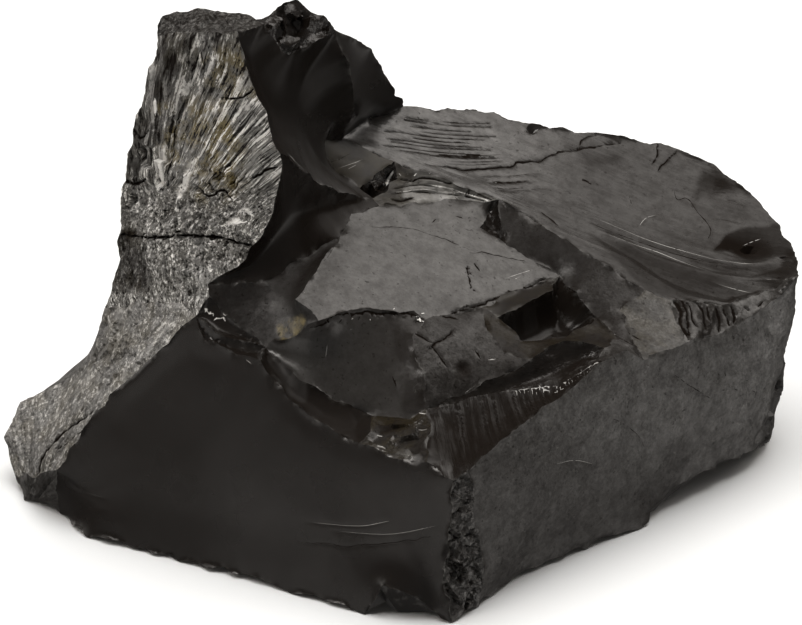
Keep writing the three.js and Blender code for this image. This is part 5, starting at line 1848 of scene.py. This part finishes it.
def light_room(stage):
    """A dim room with soft panels of light, all of them part of the world."""
    world = bpy.data.worlds.new("studio")
    world.use_nodes = True
    nodes = Nodes(world.node_tree)
    way = nodes.add("ShaderNodeTexCoord").outputs["Generated"]
    total = stage.room_light
    for _, bearing, height, reach, soft, radiance in PANELS:
        dot = nodes.add("ShaderNodeVectorMath", operation="DOT_PRODUCT")
        nodes.join(way, dot.inputs[0])
        dot.inputs[1].default_value = facing(bearing, height)
        outer = math.cos(math.radians(min(179, reach + soft)))
        inner = math.cos(math.radians(max(0, reach - soft)))
        part = nodes.spread(dot.outputs["Value"], outer, inner, 0.0, radiance * stage.panel_light)
        total = nodes.math("ADD", part, total)
    background = nodes.add("ShaderNodeBackground")
    background.inputs["Color"].default_value = (*stage.light_colour, 1)
    nodes.join(total, background.inputs["Strength"])
    output = nodes.add("ShaderNodeOutputWorld")
    nodes.join(background.outputs["Background"], output.inputs["Surface"])
    bpy.context.scene.world = world


def hang_fill(stage):
    """A wide lamp overhead that lights the floor and the dull faces, with no gleam of its own."""
    lamp = bpy.data.objects.new("fill", bpy.data.lights.new("fill", "AREA"))
    bpy.context.scene.collection.objects.link(lamp)
    lamp.data.shape = "DISK"
    lamp.data.size = stage.fill_size
    lamp.data.energy = stage.fill_power
    lamp.location = (0, 0.1, stage.fill_height)
    lamp.visible_glossy = False


def place_camera(stage):
    """A long lens that looks down on the stone from the front."""
    camera = bpy.data.objects.new("camera", bpy.data.cameras.new("camera"))
    bpy.context.scene.collection.objects.link(camera)
    distance = stage.camera_distance
    camera.data.sensor_width = SENSOR
    camera.data.lens = SENSOR * distance / stage.view_width
    camera.data.clip_start = 0.01
    camera.data.clip_end = 20
    tilt = math.radians(stage.camera_tilt)
    back = Vector((0, -math.cos(tilt), math.sin(tilt)))
    camera.location = Vector(stage.look_at) + back * distance
    camera.rotation_euler = (math.pi / 2 - tilt, 0, 0)
    bpy.context.scene.camera = camera


# ---- the add-on ----
class ShungiteLook(bpy.types.PropertyGroup):
    """Sizes and colours of the stone."""

    black: bpy.props.FloatVectorProperty(
        name="Black", description="Colour of the clean glassy faces",
        default=(0.0085, 0.0064, 0.0050), subtype="COLOR", min=0, max=1)
    grey: bpy.props.FloatVectorProperty(
        name="Grey", description="Colour of the rough crushed faces",
        default=(0.17, 0.163, 0.15), subtype="COLOR", min=0, max=1)
    # The glint colour is the colour of the painted highlights: the sparkles on the splinters and
    # the gleam and glare lines.
    glint: bpy.props.FloatVectorProperty(
        name="Glint", description="Colour of the palest splinters",
        default=(0.8, 0.77, 0.72), subtype="COLOR", min=0, max=1)
    ochre: bpy.props.FloatVectorProperty(
        name="Ochre", description="Colour of the iron stains",
        default=(0.16, 0.122, 0.045), subtype="COLOR", min=0, max=1)
    stain_share: bpy.props.FloatProperty(
        name="Stain share", description="How strongly the stains cover the stone",
        default=0.6, min=0, max=1, subtype="FACTOR")
    gloss_roughness: bpy.props.FloatProperty(
        name="Gloss roughness", description="Roughness of the glassiest face",
        default=0.12, min=0.02, max=1, subtype="FACTOR")
    ior: bpy.props.FloatProperty(
        name="Refractive index", description="How strongly the clean faces reflect",
        default=1.8, min=1, max=3)
    shards: bpy.props.FloatProperty(
        name="Shards", description="How far the fine shards of the rough faces tilt",
        default=0.7, min=0, max=2)
    wear: bpy.props.FloatProperty(
        name="Wear", description="How mottled the rougher faces are",
        default=0.35, min=0, max=1, subtype="FACTOR")
    crumble: bpy.props.FloatProperty(
        name="Crumble", description="How strongly the ridges crumble into fine shards",
        default=0.5, min=0, max=2)
    relief: bpy.props.FloatProperty(
        name="Relief", description="Multiplies the height of every form on the faces",
        default=1.0, min=0, max=1.5)


class StageLook(bpy.types.PropertyGroup):
    """Sizes and light of the stage."""

    floor_size: bpy.props.FloatProperty(
        name="Floor size", description="Side of the square floor",
        default=3.0, min=0.3, unit="LENGTH")
    floor_colour: bpy.props.FloatVectorProperty(
        name="Floor colour", description="Colour of the floor",
        default=(0.86, 0.86, 0.85), subtype="COLOR", min=0, max=1)
    room_light: bpy.props.FloatProperty(
        name="Room light", description="Light of the dim room round the panels",
        default=0.08, min=0)
    panel_light: bpy.props.FloatProperty(
        name="Panel light", description="Multiplies the light of the soft panels",
        default=1.0, min=0)
    light_colour: bpy.props.FloatVectorProperty(
        name="Light colour", description="Colour of the room and its panels",
        default=(1.0, 0.95, 0.9), subtype="COLOR", min=0, max=1)
    fill_power: bpy.props.FloatProperty(
        name="Fill power", description="Power of the lamp overhead, in watts",
        default=9.0, min=0)
    fill_size: bpy.props.FloatProperty(
        name="Fill size", description="Width of the lamp overhead",
        default=0.9, min=0.01, unit="LENGTH")
    fill_height: bpy.props.FloatProperty(
        name="Fill height", description="Height of the lamp overhead",
        default=0.8, min=0.1, unit="LENGTH")
    camera_distance: bpy.props.FloatProperty(
        name="Camera distance", description="From the camera to the stone",
        default=1.5, min=0.2, unit="LENGTH")
    camera_tilt: bpy.props.FloatProperty(
        name="Camera tilt", description="How far the camera looks down, in degrees",
        default=DRAWING_TILT, min=0, max=89)
    view_width: bpy.props.FloatProperty(
        name="View width", description="Width of the view at the stone",
        default=0.08, min=0.02, unit="LENGTH")
    look_at: bpy.props.FloatVectorProperty(
        name="Look at", description="The point in the middle of the view",
        default=(0.0, -0.00483, 0.0217), unit="LENGTH", size=3)


class SHUNGITE_OT_stone(bpy.types.Operator):
    """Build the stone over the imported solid"""

    bl_idname = "shungite.stone"
    bl_label = "Build Stone"

    def execute(self, context):
        look = context.scene.shungite_look
        stone = bpy.data.objects.new("stone_surface", stone_mesh(look))
        context.scene.collection.objects.link(stone)
        stone.data.materials.append(stone_material(look))
        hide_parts("stone")
        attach(stone, "root")
        return {"FINISHED"}


class SHUNGITE_OT_stage(bpy.types.Operator):
    """Build the floor, the soft light and the camera"""

    bl_idname = "shungite.stage"
    bl_label = "Build Stage"

    def execute(self, context):
        stage = context.scene.shungite_stage
        half = stage.floor_size / 2
        mesh = bpy.data.meshes.new("floor")
        corners = [(-half, -half, 0), (half, -half, 0), (half, half, 0), (-half, half, 0)]
        mesh.from_pydata(corners, [], [(0, 1, 2, 3)])
        floor = bpy.data.objects.new("floor", mesh)
        floor.location.z = -FLOOR_GAP * MM
        mesh.materials.append(plain_material("floor_pale", stage.floor_colour, 0.8))
        context.scene.collection.objects.link(floor)
        floor.visible_glossy = False
        light_room(stage)
        hang_fill(stage)
        place_camera(stage)
        context.scene.view_settings.view_transform = "Standard"
        return {"FINISHED"}


class SHUNGITE_PT_panel(bpy.types.Panel):
    """Lists the steps and their settings"""

    bl_idname = "SHUNGITE_PT_panel"
    bl_label = "Shungite Stone"
    bl_space_type = "VIEW_3D"
    bl_region_type = "UI"
    bl_category = "Stone"

    def draw(self, context):
        for group, operator in (("shungite_look", "shungite.stone"),
                                ("shungite_stage", "shungite.stage")):
            settings = getattr(context.scene, group)
            box = self.layout.box()
            for key in settings.__annotations__:
                box.prop(settings, key)
            box.operator(operator)


CLASSES = (ShungiteLook, StageLook, SHUNGITE_OT_stone, SHUNGITE_OT_stage, SHUNGITE_PT_panel)


def register():
    for item in CLASSES:
        bpy.utils.register_class(item)
    bpy.types.Scene.shungite_look = bpy.props.PointerProperty(type=ShungiteLook)
    bpy.types.Scene.shungite_stage = bpy.props.PointerProperty(type=StageLook)


def unregister():
    del bpy.types.Scene.shungite_stage
    del bpy.types.Scene.shungite_look
    for item in reversed(CLASSES):
        bpy.utils.unregister_class(item)


def main():
    register()
    bpy.ops.shungite.stone()
    bpy.ops.shungite.stage()


if __name__ == "__main__":
    main()
